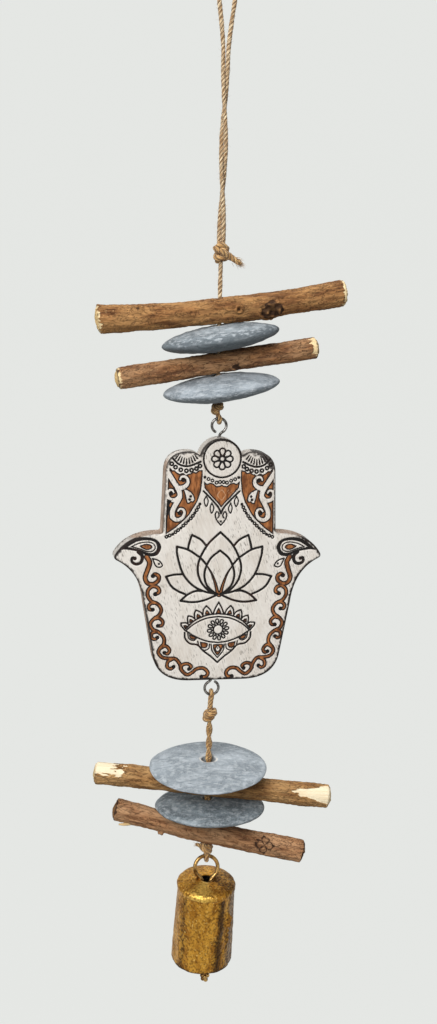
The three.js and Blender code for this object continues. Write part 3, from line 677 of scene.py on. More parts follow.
# %% Loose hair on the cords
def fuzz(name, path, count, body, seed):
    """Loose hair on a cord: roots at random places on its skin, leaning along it and outwards."""
    rng = np.random.default_rng(seed)
    at = path[rng.integers(0, len(path), count)]
    out = unit(rng.normal(size=(count, 3)) * (1, 1, 0.2))
    lean = out + rng.choice([-1, 1], (count, 1)) * np.array([0, 0, 1.0]) * rng.uniform(0.4, 2.0, (count, 1))
    add_piece(name, [hairs(at + 0.9 * out, unit(lean), 2.4, 0.1, 0.5, seed)], JUTE, body)


def between(path, high, low):
    """The part of a path between two heights."""
    return path[(path[:, 2] < high) & (path[:, 2] > low)]


fuzz("loop_hair", loop_path, 420, "upper_string", 401)
fuzz("upper_hair", between(upper_path, -146, -155), 30, "upper_string", 402)
fuzz("lower_hair", between(lower_path, -380, -391), 36, "lower_string", 403)

# %% [markdown]
# ## Sticks
#
# Each stick is a piece of branch with its bark on, sawn at both ends and drilled across. A cylinder
# with a bump map keeps a straight outline, which gives it away, so the bark is real relief: noise
# stretched along the stick, stumps of side twigs, and pits where the cord goes in. The points carry
# their place in the stick as it grew, so the bark follows the stick however it is tilted.

# %% Bark finish
def bark_finish(name, dark, middle, light, bare, sawn):
    """Ridges along the stick between a dark and a middle tone, blotches of a lighter one, pale specks
    and dark cracks; bare wood where the bark is off, and growth rings on the sawn ends."""
    tree, shader, finish = new_finish(name, Roughness=0.82, Specular_IOR_Level=0.3)
    place = attribute(tree, "bark_at", "Vector")
    ridges = grain(tree, place, (9.0, 1.3, 1.3), 0.32, 0.68, 5.0)
    blotch = grain(tree, place, (20.0, 7.0, 7.0), 0.4, 0.62, 4.0)
    speck = grain(tree, place, (1.3, 0.7, 0.7), 0.69, 0.75, 1.0)
    crack = veins(tree, place, (7.0, 2.2, 2.2), 1.6, 0.028)
    tone = mix(tree, ridges, ink(dark), ink(middle))
    tone = tint(tree, tone, blotch, light, 0.6)
    tone = tint(tree, tone, crack, "3A2210", 0.5)
    tone = tint(tree, tone, speck, "DDB47C", 0.5)
    streak = math_of(tree, "MULTIPLY", grain(tree, place, (14.0, 0.8, 0.8), 0.4, 0.75, 3.0), 0.4)
    peel = span(tree, attribute(tree, "peel"), -0.25, 0.35)
    tone = mix(tree, peel, tone, mix(tree, streak, ink(bare), ink("D9B27A")))
    # marks on the bark: pale collars, dark stumps, buds, clover lines and sawn rims, and painted shade in
    # the mouth of the cord's hole
    scar = attribute(tree, "scar")
    tone = tint(tree, tone, span(tree, scar, -0.8, -0.1, 0.8, 0.0), "DFB67C")
    tone = tint(tree, tone, span(tree, scar, 0.05, 0.9, 0.0, 0.9), "2A160A")
    spot = node(tree, "SeparateXYZ", {0: place}).outputs
    across = node(tree, "CombineXYZ", {1: spot[1], 2: spot[2]}).outputs[0]
    out = node(tree, "VectorMath", {0: across}, operation="LENGTH").outputs["Value"]
    wobble = grain(tree, place, 2.4, 0.0, 1.0, 2.0)
    ring = math_of(tree, "SINE", math_of(tree, "MULTIPLY", math_of(tree, "ADD", out, wobble), 7.5))
    end = mix(tree, span(tree, ring, -0.6, 1.0, 0.0, 0.55), ink(sawn), ink("A87B45"))
    end = mix(tree, span(tree, out, 4.9, 5.9, 0.0, 0.6), end, ink("7A4E26"))
    tone = mix(tree, attribute(tree, "cut"), tone, end)
    tree.links.new(tone, shader.inputs["Base Color"])
    rough = math_of(tree, "SUBTRACT", math_of(tree, "MULTIPLY", ridges, 0.5), crack)
    relief(tree, shader, math_of(tree, "MULTIPLY", rough, math_of(tree, "SUBTRACT", 1.0, peel)), 0.3)
    return finish


BARKS = {
    "stick_1": bark_finish("bark_first", "6A4323", "A27243", "BC8E59", "F4DDAE", "EBCB92"),
    "stick_2": bark_finish("bark_second", "67432A", "9E6E45", "B99068", "F0D5A4", "E6C68C"),
    "stick_3": bark_finish("bark_third", "76502C", "AA7D4A", "C59C68", "F6E7C6", "F0D6A2"),
    "stick_4": bark_finish("bark_fourth", "7C5234", "B4845B", "CCA178", "E3C28C", "7A5636"),
}

# %% Stick sizes and marks
STICKS = {  # left and right of the hole, thickness at left end, middle and right end, bow, lean, body
    "stick_1": (59.4, 62.9, (13.6, 12.3, 13.2), 2.4, (7.15, 0, 0), "first_stick"),
    "stick_2": (50.1, 49.7, (10.4, 10.2, 10.6), 0.0, (9.6, 2, 0), "second_stick"),
    "stick_3": (58.6, 63.0, (11.8, 11.7, 12.0), 0.0, (-5, 7, -10), "third_stick"),
    "stick_4": (49.3, 51.2, (11.4, 11.2, 11.8), 1.0, (-12.3, 3, -10), "fourth_stick"),
}
# Stumps, buds and scars: place along the stick, degrees round it from the top to the viewer, width, height
STUMPS = {
    "stick_1": [(24.8, 114, 12.5, 1.4, "stump"), (8.6, 90, 4.6, 0.9, "bud"), (-40, 42, 5.6, 0.7, "bud")],
    "stick_2": [(8.0, 124, 5.0, 0.7, "stump")],
    "stick_4": [(-23.5, 150, 3.4, 1.6, "bud"), (30.3, 69, 9.0, 0.35, "clover")],
}
RIMS = {"stick_1": 0.3, "stick_2": 0.75, "stick_3": 0.3, "stick_4": 1.0}  # how dark the sawn edges are


# %% Turns and peeled places
def tilt(rise, front, turn):
    """A turn matrix: rise to the right about Y, then front down about X, then round the cord."""
    rise, front, turn = np.radians([rise, front, turn])
    lift = np.array([[math.cos(rise), 0, -math.sin(rise)], [0, 1, 0], [math.sin(rise), 0, math.cos(rise)]])
    dip = np.array([[1, 0, 0], [0, math.cos(front), -math.sin(front)],
                    [0, math.sin(front), math.cos(front)]])
    spin = np.array([[math.cos(turn), -math.sin(turn), 0], [math.sin(turn), math.cos(turn), 0], [0, 0, 1]])
    return spin @ dip @ lift


def peeled(name, s, angle, place):
    """How far a point lies inside a place where the bark is off, in millimetres, ragged by noise."""
    ragged = 1.6 * waves(place, (6.0, 1.6, 1.6), 71) + 0.6 * waves(place, (2.5, 0.8, 0.8), 72)
    if name == "stick_3":
        left = np.minimum(-47.0 - s + 1.3 * ragged,
                          6 * (np.cos(angle - np.radians(8)) - 0.42) + 0.4 * ragged)
        wedge = np.radians(6 + 2.7 * np.clip(s - 45, 0, 30)) - np.abs(angle - np.radians(54))
        return np.maximum(left, np.minimum(s - 45.5 + 1.0 * ragged, 5.8 * wedge + 0.3 * ragged))
    if name == "stick_2":
        front = np.cos(angle - np.radians(62))
        return np.maximum(-48.9 - s, s - 45.8 - 4 * (1 - front)) + 0.45 * ragged
    if name == "stick_4":
        return np.maximum(-47.6 - s - 6 * (1 + np.cos(angle)), s - 54) + 0.3 * ragged
    return np.maximum(-58.9 - s, s - 61.4) + 0.3 * ragged


# %% Stumps and splinters
def stump(kind, far, turn, noise):
    """The height and the darkness of a stump, a bud or a scar, at a distance from its middle of which
    1 is its edge, and at an angle round it: a torn lump with a pale collar on one side; a ring with a
    dark middle; or four lobes in outline, the lobe's edge being at 0.45 + 0.55 times the root of the
    cosine of twice the angle."""
    if kind == "stump":
        collar = np.exp(-(((far - 1.0) / 0.13) ** 2)) * ramp(-0.3, 0.5, -np.cos(turn))
        torn = np.exp(-(((far - 0.55) / 0.34) ** 2)) * (0.7 + 0.45 * noise)
        torn = torn - 0.5 * (1 - ramp(0.1, 0.35, far))
        dark = (1 - ramp(0.6, 0.92, far + 0.16 * noise)) * (0.62 + 0.38 * ramp(-0.8, 0.8, -noise))
        return torn + 0.5 * collar, dark - collar
    if kind == "bud":
        ring = np.exp(-(((far - 0.7) / 0.24) ** 2))
        dark = (1 - ramp(0.2, 0.45, far)) + 0.5 * np.exp(-(((far - 1.1) / 0.14) ** 2))
        return ring - 0.6 * (1 - ramp(0.15, 0.45, far)), dark - ring
    lobe = 0.45 + 0.55 * np.sqrt(np.abs(np.cos(2 * turn))) + 0.07 * noise
    line = np.exp(-(((far - lobe) / 0.13) ** 2)) + np.exp(-((np.cos(2 * turn) / 0.4) ** 2)) * (far < 0.5)
    return 0.6 * (far < lobe) - line, np.clip(line * (0.85 + 0.2 * noise), 0, 1) + 0.25 * (far < lobe)


def sliver(start, end, thick):
    """A splinter of bare wood: a thin tube along a slightly bent path, thinning to its end."""
    start, end = np.array(start), np.array(end)
    path = smooth_path([start, (start + end) / 2 + (0, 0, -0.35), end], 0.3)
    tube = swept(path, AWAY, thick / 2 * np.linspace(1, 0.35, len(path))[:, None], 10)
    bare = np.ones(tube.shape[:2])
    return closed_grid(tube, bark_at=tube, peel=9 * bare, cut=0 * bare, scar=0 * bare)


# %% The stick
STICK_ROWS, STICK_COLUMNS = 330, 108
SAWN_ROUND = 0.9  # how far the sawn edges are rounded over


def stick(name, left, right, thick, bow):
    """Rings along the stick: the radius goes from the middle to the ends with the square of the share
    of the length, plus bark noise and stumps, and is rounded over at the sawn ends."""
    caps = np.array([0.12, 0.35, 0.6, 0.82, 0.94])
    rings = np.linspace(-left, right, STICK_ROWS)
    s = np.concatenate([np.full(5, -left), rings, np.full(5, right)])[:, None]
    scale = np.concatenate([caps, np.ones(STICK_ROWS), caps[::-1]])[:, None]
    angle = even_turn(STICK_COLUMNS)[None]
    to_end = np.minimum(s + left, right - s)
    share = np.where(s < 0, s / left, s / right)
    radius = (thick[1] + (np.where(s < 0, thick[0], thick[2]) - thick[1]) * share**2) / 2
    lip = np.clip(SAWN_ROUND - to_end, 0, SAWN_ROUND)
    trunk = radius - SAWN_ROUND + np.sqrt(SAWN_ROUND**2 - lip**2)
    place = np.stack(np.broadcast_arrays(s, -radius * np.sin(angle), radius * np.cos(angle)), -1)
    peel = peeled(name, s, angle, place)
    seed = sum(map(ord, name))
    bark = 0.18 * waves(place, (34, 9, 9), seed) + 0.11 * waves(place, (9, 2.4, 2.4), seed + 1)
    bark += 0.06 * waves(place, (2.4, 1.1, 1.1), seed + 2)
    bark = bark * (1 - 0.65 * ramp(-0.3, 0.3, peel)) - 0.32 * ramp(-0.3, 0.3, peel)
    scar = RIMS[name] * (1 - ramp(0.1, 0.8, to_end + 0.25 * waves(place, 2.0, seed + 4)))
    for along, turn_deg, wide, high, kind in STUMPS.get(name, []):
        gap = radius * np.angle(np.exp(1j * (angle - np.radians(turn_deg))))
        far = np.hypot(s - along, gap) / (wide / 2)
        lift, dark = stump(kind, far, np.arctan2(gap, s - along), waves(place, 2.4, seed + 5))
        bark += high * lift * (far < 1.5)
        scar = np.where(far < 1.5, np.where(np.abs(dark) > np.abs(scar), dark, scar), scar)
    mouth = np.hypot(s, radius * np.minimum(abs(np.sin(angle)), 1)) + 9 * (abs(np.cos(angle)) < 0.3)
    bark -= 2.4 * (1 - ramp(1.5, 2.5, mouth))
    # painted shade: the mouth of the drilled hole round the cord is darkened
    scar = np.maximum(scar, 1 - ramp(1.7, 2.6, mouth))
    body = (trunk + bark * np.where(scale < 1, 0, 1)) * scale
    bowed = body * np.cos(angle) + bow * share**2
    grid = np.stack(np.broadcast_arrays(s, -body * np.sin(angle), bowed), -1)
    swell = 1.2 * (1 - scale**2) + 0.16 * waves(grid, 2.6, seed + 3)
    grid[..., 0] += np.sign(s) * np.where(scale < 1, swell, 0)
    cut = np.broadcast_to(1 - ramp(0.9, 0.98, scale), bark.shape)
    at = np.stack(np.broadcast_arrays(s, -body * np.sin(angle), body * np.cos(angle)), -1)
    at += np.array([3.0 * (seed % 100), 0, 0])
    return closed_grid(grid, bark_at=at, peel=peel, cut=cut, scar=np.clip(scar, -1, 1))


# %% Hang the sticks
SPLINTER = (-40.0, -2.4, -3.6), (-45.8, -3.0, -5.4), 2.3  # on the fourth stick: root, tip, thickness


def placed(patch, turn, place):
    """A patch turned about its own origin and then set at a place."""
    return patch | {"points": patch["points"] @ turn.T + place}


for name, (left, right, thick, bow, lean, body) in STICKS.items():
    patches = [stick(name, left, right, thick, bow)]
    if name == "stick_4":
        patches.append(sliver(*SPLINTER))
    patches = [placed(patch, tilt(*lean), HANG[name + "_spin"]) for patch in patches]
    add_piece(name + "_bark", patches, BARKS[name], body, [name])

# %% [markdown]
# ## Pebbles
#
# Flat beach stones, each with a hole drilled near its middle. A squashed sphere could be cut with a
# boolean, but a grid that goes round through the hole is cleaner: it starts at the hole's lower edge,
# runs out under the stone, over the rim, back over the top and down the hole.

# %% Stone finish
def stone_finish(name, base, pale, dark, bands, split):
    """Clouds of a pale and a dark tone, chalky streaks, fine grit, faint veins and layers, painted shade
    below the split, which is a share of half the thickness down from the rim, and a pale edge round the
    hole."""
    tree, shader, finish = new_finish(name, Roughness=0.72, Specular_IOR_Level=0.35)
    place = attribute(tree, "stone_at", "Vector")
    cloud = grain(tree, place, (11.0, 8.0, 3.0), 0.3, 0.7, 5.0)
    chalk = grain(tree, place, (2.6, 2.4, 0.9), 0.46, 0.66, 6.0)
    grit = grain(tree, place, (0.8, 0.8, 0.8), 0.35, 0.7, 2.0)
    drift = grain(tree, place, (22.0, 14.0, 2.0), 0.42, 0.6, 4.0)
    tone = mix(tree, cloud, ink(base), ink(pale))
    tone = tint(tree, tone, drift, dark, 0.55)
    line = veins(tree, place, (26.0, 11.0, 5.0), 1.2, 0.016 * bands)
    tone = tint(tree, tone, chalk, "C8CED2", 0.5)
    tone = tint(tree, tone, line, "D5DADE", 0.22)
    layer = veins(tree, place, (40.0, 8.0, 8.0), 2.0, 0.03 * bands)
    tone = tint(tree, tone, layer, dark, 0.5)
    tone = tint(tree, tone, grit, "C3C9CD", 0.2)
    # painted shade: the underside below the split is darkened, as if turned away from the light
    underside_shade = math_of(tree, "ADD", attribute(tree, "under"), math_of(tree, "MULTIPLY", chalk, -0.35))
    tone = tint(tree, tone, span(tree, underside_shade, split - 0.25, split + 0.25, 0.0, 0.66), dark)
    pit = grain(tree, place, (1.0, 1.0, 1.0), 0.68, 0.74, 1.0)
    tone = tint(tree, tone, pit, "3C444A", 0.5)
    tone = tint(tree, tone, attribute(tree, "mouth"), "E3DED4")
    tree.links.new(tone, shader.inputs["Base Color"])
    tree.links.new(span(tree, cloud, 0.0, 1.0, 0.62, 0.82), shader.inputs["Roughness"])
    relief(tree, shader, math_of(tree, "SUBTRACT", grit, pit), 0.1)
    return finish


STONES = {
    "pebble_1": stone_finish("stone_first", "788288", "A3ADB3", "4C5459", 0.8, -0.42),
    "pebble_2": stone_finish("stone_second", "868F96", "ACB5BC", "5E666C", 0.8, 0.0),
    "pebble_3": stone_finish("stone_third", "8E979E", "B0B8BE", "6C757B", 1.4, 0.1),
    "pebble_4": stone_finish("stone_fourth", "6C777D", "97A2A8", "475055", 1.0, 0.1),
}

# %% Pebble surfaces
PEBBLES = {  # length, depth, thickness, middle beside and behind the hole, lean, cord, body
    "pebble_1": (58.2, 42, 12.8, 0.8, 0, (10.1, 1, 0), 2.2, "first_pebble"),
    "pebble_2": (58.5, 42, 13.0, 2.0, -1, (8.35, 4, 0), 2.2, "second_pebble"),
    "pebble_3": (59.5, 53, 7.0, 0.0, -3, (0.5, 8.5, -10), 5.4, "third_pebble"),
    "pebble_4": (56.8, 44, 10.5, 1.2, 0, (0.4, 5, -10), 3.4, "fourth_pebble"),
}
SPOKES, FACE_ROWS, HOLE_ROWS = 168, 60, 9
HOLE_ROOM = 0.4  # between the hole and the cord


def pebble(long, deep, thick, beside, behind, hole, seed):
    """Spokes from the hole to an uneven oval rim. A face rises above the middle plane by half the
    thickness times (1 - share²) to a power, where share is the part of the way to the rim; the power
    falls evenly with share², from 0.7 to 0.54, which blunts the rim."""
    angle = even_turn(SPOKES)[None]
    c, s, a, b = np.cos(angle), np.sin(angle), long / 2, deep / 2
    ring = np.stack([10 * c, 10 * s, 0 * c], -1)
    swell = 1 + 0.010 * waves(ring, 16.0, seed) + 0.004 * waves(ring, 5.0, seed + 1)
    square, cross = (c / a) ** 2 + (s / b) ** 2, c * beside / a**2 + s * behind / b**2
    rest = (beside / a) ** 2 + (behind / b) ** 2 - 1
    rim = (cross + np.sqrt(cross**2 - square * rest)) / square
    way = np.sin(np.linspace(0, np.pi / 2, FACE_ROWS))[:, None]
    out = hole / 2 + (rim - hole / 2) * way
    share2 = ((out * c - beside) / a) ** 2 + ((out * s - behind) / b) ** 2
    rise = thick / 2 * np.clip(1 - share2, 0, 1) ** (0.7 - 0.16 * share2)
    rise = rise - 0.5 * np.exp(-(out - hole / 2) / 0.45)
    flat = np.stack([out * c * swell, out * s * swell], -1)
    top = np.concatenate([flat, rise[..., None]], -1)[::-1]
    under = np.concatenate([flat, -rise[..., None]], -1)[:-1]
    fade = np.linspace(0.95, -0.95, HOLE_ROWS)[:, None, None]
    wall = np.concatenate([np.broadcast_to(flat[:1], (HOLE_ROWS, SPOKES, 2)),
                           fade * rise[None, 0, :, None]], -1)
    grid = np.concatenate([under, top, wall])
    skin = np.concatenate([1 - 0.75 * way[:-1] ** 6, 1 - 0.75 * way[::-1] ** 6, np.zeros((HOLE_ROWS, 1))])
    lumps = 0.15 * waves(grid, 17.0, seed + 2) + 0.09 * waves(grid, 5.0, seed + 3)
    lumps = lumps + 0.03 * waves(grid, 1.8, seed + 4)
    grid[..., 2] += np.sign(grid[..., 2]) * skin * lumps
    near = np.hypot(grid[..., 0], grid[..., 1])
    mouth = np.exp(-((near - hole / 2 - 0.6) / 0.48) ** 2) * (0.35 + 0.65 * (np.sin(angle) < 0.2))
    rows, columns = grid.shape[:2]
    faces = grid_faces(rows + 1, columns) % (rows * columns)
    points = grid.reshape(-1, 3)
    return {"points": points, "faces": [faces], "stone_at": points + 3.7 * (seed % 100),
            "mouth": mouth.ravel(), "under": -2 * points[:, 2] / thick}


# %% Hang the pebbles
for number, (name, (long, deep, thick, beside, behind, lean, cord, body)) in enumerate(PEBBLES.items()):
    turn = tilt(*lean)
    hole = cord + 2 * (thick / 2 * math.tan(math.acos(turn[2, 2])) + HOLE_ROOM)
    patch = pebble(long, deep, thick, beside, behind, hole, 500 + 10 * number)
    patch = placed(patch, turn, HANG[name + "_spin"])
    add_piece(name + "_stone", [patch], STONES[name], body, [name])

# %% [markdown]
# ## Screw eyes
#
# A screw eye is one steel wire, bent round into a ring that doesn't quite close, its straight end
# screwed into the wood. A torus would be closed all the way; a tube along the bent path shows the gap.

# %% Steel and brass finishes
def metal_finish(name, bright, dull, low, high, size):
    """Bare metal: tone and roughness drift between two values, with fine scratches."""
    tree, shader, finish = new_finish(name, Metallic=1.0)
    place = object_place(tree)
    drift = grain(tree, place, size, 0.34, 0.66, 4.0)
    tree.links.new(mix(tree, drift, ink(bright), ink(dull)), shader.inputs["Base Color"])
    tree.links.new(span(tree, drift, 0.0, 1.0, low, high), shader.inputs["Roughness"])
    relief(tree, shader, grain(tree, place, 0.35, 0.3, 0.7, 2.0), 0.03)
    return finish


STEEL = metal_finish("screw_eye_steel", "8E8B87", "4B4844", 0.2, 0.38, 1.4)
WIRE_BRASS = metal_finish("ring_brass", "B8935A", "5E3F1C", 0.22, 0.42, 2.2)

# %% Screw eye surfaces
EYE_RADIUS = 3.6


def wire(path, diameter, columns=16):
    """A round tube along a path in the XZ plane, its ends a little rounded."""
    reach = np.linspace(0, path_length(path), len(path))
    ends = np.minimum(reach, reach[::-1]) / (diameter / 2)
    radius = diameter / 2 * np.sqrt(np.clip(1 - np.clip(1 - ends, 0, 1) ** 2, 0.04, 1))
    return closed_grid(swept(path, AWAY, radius[:, None], columns))


def screw_eye(place, down):
    """From inside the wood out along the shank, over to the ring's side, and round it to the gap."""
    turn = np.radians(np.arange(-62, 252, 12))
    aside = 0.25 * np.linspace(-1, 1, len(turn))
    ring = np.stack([EYE_RADIUS * np.cos(turn), aside, EYE_RADIUS * np.sin(turn)], -1)
    shank = np.array([(0, 0, -9.0), (0, 0, -7.0), (0.05, 0, -5.6), (0.7, -0.2, -4.1)])
    path = smooth_path(np.concatenate([shank, ring]), 0.2) * (down, 1, down)
    return moved(wire(path, EYE_WIRE), place)


for name, down, joint in (("upper_screw_eye", 1, "hand_nod"), ("lower_screw_eye", -1, "lower_loop_nod")):
    eye_at = HANG[joint] - (0, 0, EYE_RADIUS * down)
    add_piece(name + "_wire", [screw_eye(eye_at, down)], STEEL, "hand", [name])

# %% [markdown]
# ## The hand board
#
# The hand is sawn from a thin board, painted white, and carved through the paint: black cuts for the
# lines, and brown stain in the wider places. An image would blur when the camera comes close, so the
# pattern is kept as curves. For every point of a fine sheet we work out how far it is from the nearest
# cut and from the nearest stained place. The same two numbers sink the surface and colour it.

# %% Outline of the board
BOARD_LOW, BOARD_HIGH = (1000 * np.array(corner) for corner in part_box("hand_board"))
BOARD_AT = np.array([(BOARD_LOW[0] + BOARD_HIGH[0]) / 2, 0.0, BOARD_HIGH[2]])
FACE, EDGE_ROUND = 6.0, 1.2
TIP_RADIUS = 10.8  # of the middle finger's round tip
TIP_TURN = math.asin(2.4 / TIP_RADIUS)  # its arc ends this far round from level
NOTCH = TIP_RADIUS * math.cos(TIP_TURN)
FOOT = BOARD_HIGH[2] - BOARD_LOW[2]


def bent(start, control, end, count=24):
    """A quadratic curve: the weights of its three points are (1-t)², 2t(1-t) and t²."""
    t = np.linspace(0, 1, count)[1:, None]
    return (1 - t) ** 2 * np.array(start) + 2 * t * (1 - t) * np.array(control) + t**2 * np.array(end)


def even_steps(line, step):
    """The same line with points at equal steps."""
    along = way_along(line)
    places = np.linspace(0, along[-1], int(round(along[-1] / step)) + 1)
    return np.stack([np.interp(places, along, line[:, k]) for k in range(2)], -1)


def board_outline():
    """The right half from the middle finger's tip down to the foot, then its mirror image."""
    arc = np.linspace(np.pi / 2, TIP_TURN, 40)[:, None]
    right = [np.concatenate([TIP_RADIUS * np.cos(arc), TIP_RADIUS * np.sin(arc) - TIP_RADIUS], -1)]
    corner = 32.5 - (37.3 - 32.5) / 27 * 13.3  # where the palm's side, drawn on, would meet the foot
    for control, end in (
        ((NOTCH + 2.75, -6.5), (NOTCH + 5.5, -6.5)), ((27.6, -6.5), (27.6, -17.5)), (None, (28.6, -46.5)),
        (None, (29.4, -47.3)), ((45.8, -47.3), (52, -58)), ((52.9, -59.8), (51.1, -60.7)),
        ((39.1, -66.8), (37.3, -83)), (None, (32.5, 13.3 - FOOT)), ((corner, -FOOT), (13.6, -FOOT)),
        (None, (0, -FOOT)),
    ):
        start = right[-1][-1]
        right.append(bent(start, control, end) if control else np.array([end], float))
    half = even_steps(np.concatenate(right), 0.5)
    return np.concatenate([half, half[-2:0:-1] * (-1, 1)])


OUTLINE = board_outline()
print("outline of", len(OUTLINE), "points,", round(FOOT, 1), "mm tall")

# %% Distance to a line
def to_segments(points, line, closed):
    """For each point: the distance to the nearest piece of a line, which piece that is, and for a
    closed line whether the point is inside, by counting the crossings of a ray."""
    ends = np.roll(line, -1, 0) if closed else line[1:]
    starts = line if closed else line[:-1]
    run = ends - starts
    size = np.maximum((run**2).sum(1), 1e-9)
    far, which, inside = [], [], []
    for some in np.array_split(points, max(1, len(points) * len(run) // 4_000_000)):
        gap = some[:, None] - starts
        t = np.clip((gap * run).sum(-1) / size, 0, 1)
        off = ((gap - t[..., None] * run) ** 2).sum(-1)
        which.append(off.argmin(1))
        far.append(np.sqrt(off.min(1)))
        above = (starts[:, 1] > some[:, None, 1]) != (ends[:, 1] > some[:, None, 1])
        fall = np.where(run[:, 1] == 0, 1e-9, run[:, 1])
        meets = above & (some[:, None, 0] < starts[:, 0] + run[:, 0] * gap[..., 1] / fall)
        inside.append(meets.sum(1) % 2 == 1)
    return np.concatenate(far), np.concatenate(which), np.concatenate(inside)


# %% [markdown]
# ### The carved pattern
#
# Lines are written once, for the left half, in millimetres from the pattern's own middle line and
# below the top of the board; most are mirrored. The right half of the real one was cut a little
# narrower and lower, and so is this. Smooth curves go through the written points, and a tip is where
# two curves end. A ringlet is a small circle.

# %% Pattern helpers
AXIS = 0.45  # the pattern's middle line, right of the board's
FAR_OFF = 9.0  # stands for the distance where no line is near
# How wide the right half is, as a share of the left
FINGERS, PALM, THUMBS, BORDER = 0.975, 0.985, 0.97, 0.955
# Each list holds (line, half widths, closed); a closed line with no width is filled
cuts, stains, plain, scratches, soots = [], [], [], [], []


def mirrored(line, squeeze):
    """The same line on the right of the middle line: narrower by the squeeze, and lower by a fiftieth
    of the way out."""
    return np.stack([-squeeze * line[:, 0], line[:, 1] - 0.02 * np.abs(line[:, 0])], -1)


def draw(to, width, *lines, both=True, closed=False, squeeze=1.0):
    """Adds smooth strokes to a list, and their mirror images; a width may go from one value to another."""
    for line in lines:
        line = np.array(line, float)
        path = smooth_path(np.concatenate([line, line[:1]]) if closed else line, 0.3)
        half = np.linspace(*np.ravel(width)[[0, -1]], len(path)) / 2
        to.append((path, half, closed))
        if both:
            to.append((mirrored(path, squeeze), half, closed))


def fill(to, *loops, both=True, smooth=True, squeeze=1.0):
    """Adds filled shapes to a list, and their mirror images."""
    for loop in loops:
        loop = np.array(loop, float)
        path = smooth_path(np.concatenate([loop, loop[:1]]), 0.3)[:-1] if smooth else loop
        to.append((path, None, True))
        if both:
            to.append((mirrored(path, squeeze), None, True))


def ringlet(at, radius, count=12):
    """A circle of points round a place."""
    turn = even_turn(count)
    return np.array(at) + radius * np.stack([np.cos(turn), np.sin(turn)], -1)


def petals(at, count, inner, outer, wide, start):
    """Loops round a centre: each goes out along its own spoke to a round end and back."""
    spoke = start + even_turn(count)
    way = even_turn(14)
    out = (inner + outer) / 2 - (outer - inner) / 2 * np.cos(way)
    aside = wide / 2 * np.sin(way) * (0.72 - 0.28 * np.cos(way))
    c, s = np.cos(spoke)[:, None], np.sin(spoke)[:, None]
    return np.array(at) + np.stack([out * c - aside * s, out * s + aside * c], -1)


# %% Fingers: medallion
draw(cuts, 0.95, ringlet((0, -10), 9.3, 40), both=False, closed=True)
draw(cuts, 0.85, *petals((0, -10.1), 8, 1.5, 5.3, 3.7, 0.0), both=False, closed=True)
draw(cuts, 0.6, ringlet((0, -10.1), 1.2), both=False, closed=True)

# %% Fingers: fans and lace
draw(cuts, 1.05, [(-24.9, -9.6), (-21.6, -12.7), (-17.7, -13.7), (-14.2, -12.9), (-10.7, -11.4)],
     squeeze=FINGERS)
for share in np.linspace(-1, 1, 9):
    spoke = np.array([math.sin(math.radians(37 * share)), -math.cos(math.radians(37 * share))])
    draw(cuts, (0.55, 1.0), [(-17.8, -2.8) + (r - 0.9 * abs(share)) * spoke for r in (7.2, 8.5, 9.8)],
         squeeze=FINGERS)
LACE = ((-25.1, -12.5), (-23.2, -14.2), (-20.6, -15.5), (-17.8, -16), (-15.2, -15.7), (-12.8, -14.9),
        (-11.1, -13.6))
draw(cuts, 0.85, *[ringlet(at, 0.82, 10) for at in LACE], closed=True, squeeze=FINGERS)

# %% Fingers: sails and their scrolls
fill(stains, [
    (-26.1, -14.4), (-24.6, -15.9), (-23.7, -15.6), (-22.6, -16.8), (-21.1, -17.6), (-20, -17.1),
    (-19.3, -17.1), (-18, -18.2), (-16.9, -17.5), (-16, -17.4), (-14.5, -16.5), (-13.1, -16.9),
    (-11.7, -15.8), (-9.8, -15.6), (-9.8, -20.3), (-10.4, -26.1), (-12.2, -31.5), (-15.9, -37.7),
    (-18.5, -40.6), (-22.9, -44.5), (-27.5, -47.6), (-27.3, -38.9), (-27, -30.2), (-26.8, -20.3),
], smooth=False, squeeze=FINGERS)
draw(plain, 2.4, [(-27.6, -15.8), (-26, -18.3), (-24.3, -21), (-22.2, -24.2), (-20.9, -27.2), (-21.3, -30),
                  (-23, -33), (-24.4, -36.2), (-24.3, -38.9)], squeeze=FINGERS)
draw(plain, (2.5, 0.9), [(-24.4, -36.2), (-24.3, -38.9), (-22.2, -40.4), (-19.6, -39.5), (-18.4, -37.2),
                         (-19, -35.3), (-20.7, -34.9), (-21.6, -36)],
     [(-21.4, -24.6), (-19.1, -24.1), (-17.3, -22.6), (-17, -20.6), (-18.3, -18.9), (-20.1, -18.9),
      (-20.9, -20.2)],
     [(-20.9, -29), (-23.1, -30.5), (-25.8, -30), (-27, -27.9), (-26.4, -25.8), (-24.7, -25.5),
      (-23.9, -26.7)], squeeze=FINGERS)
fill(plain, [(-18.8, -25.1), (-17.0, -25.7), (-15.4, -26.7), (-14.2, -28.2), (-13.6, -30.2), (-14.2, -31.3),
             (-15.4, -31), (-16.2, -31.9), (-16.9, -31.9), (-17.4, -30.4), (-17.9, -28)], smooth=False,
     squeeze=FINGERS)
DOTS = (((-15.4, -28.7), 0.7), ((-15.9, -30.3), 0.75), ((-19.2, -20.8), 0.95), ((-24.9, -27.5), 0.95),
        ((-20.7, -37.2), 1.05))
fill(cuts, *[ringlet(at, size) for at, size in DOTS], squeeze=FINGERS)
fill(cuts, [(-27.1, -30), (-24.7, -30.8), (-26.0, -33.2), (-25.2, -34.8), (-26.6, -38.8), (-27, -43),
            (-27.5, -47.2), (-27.6, -40)],
     both=False, smooth=False)

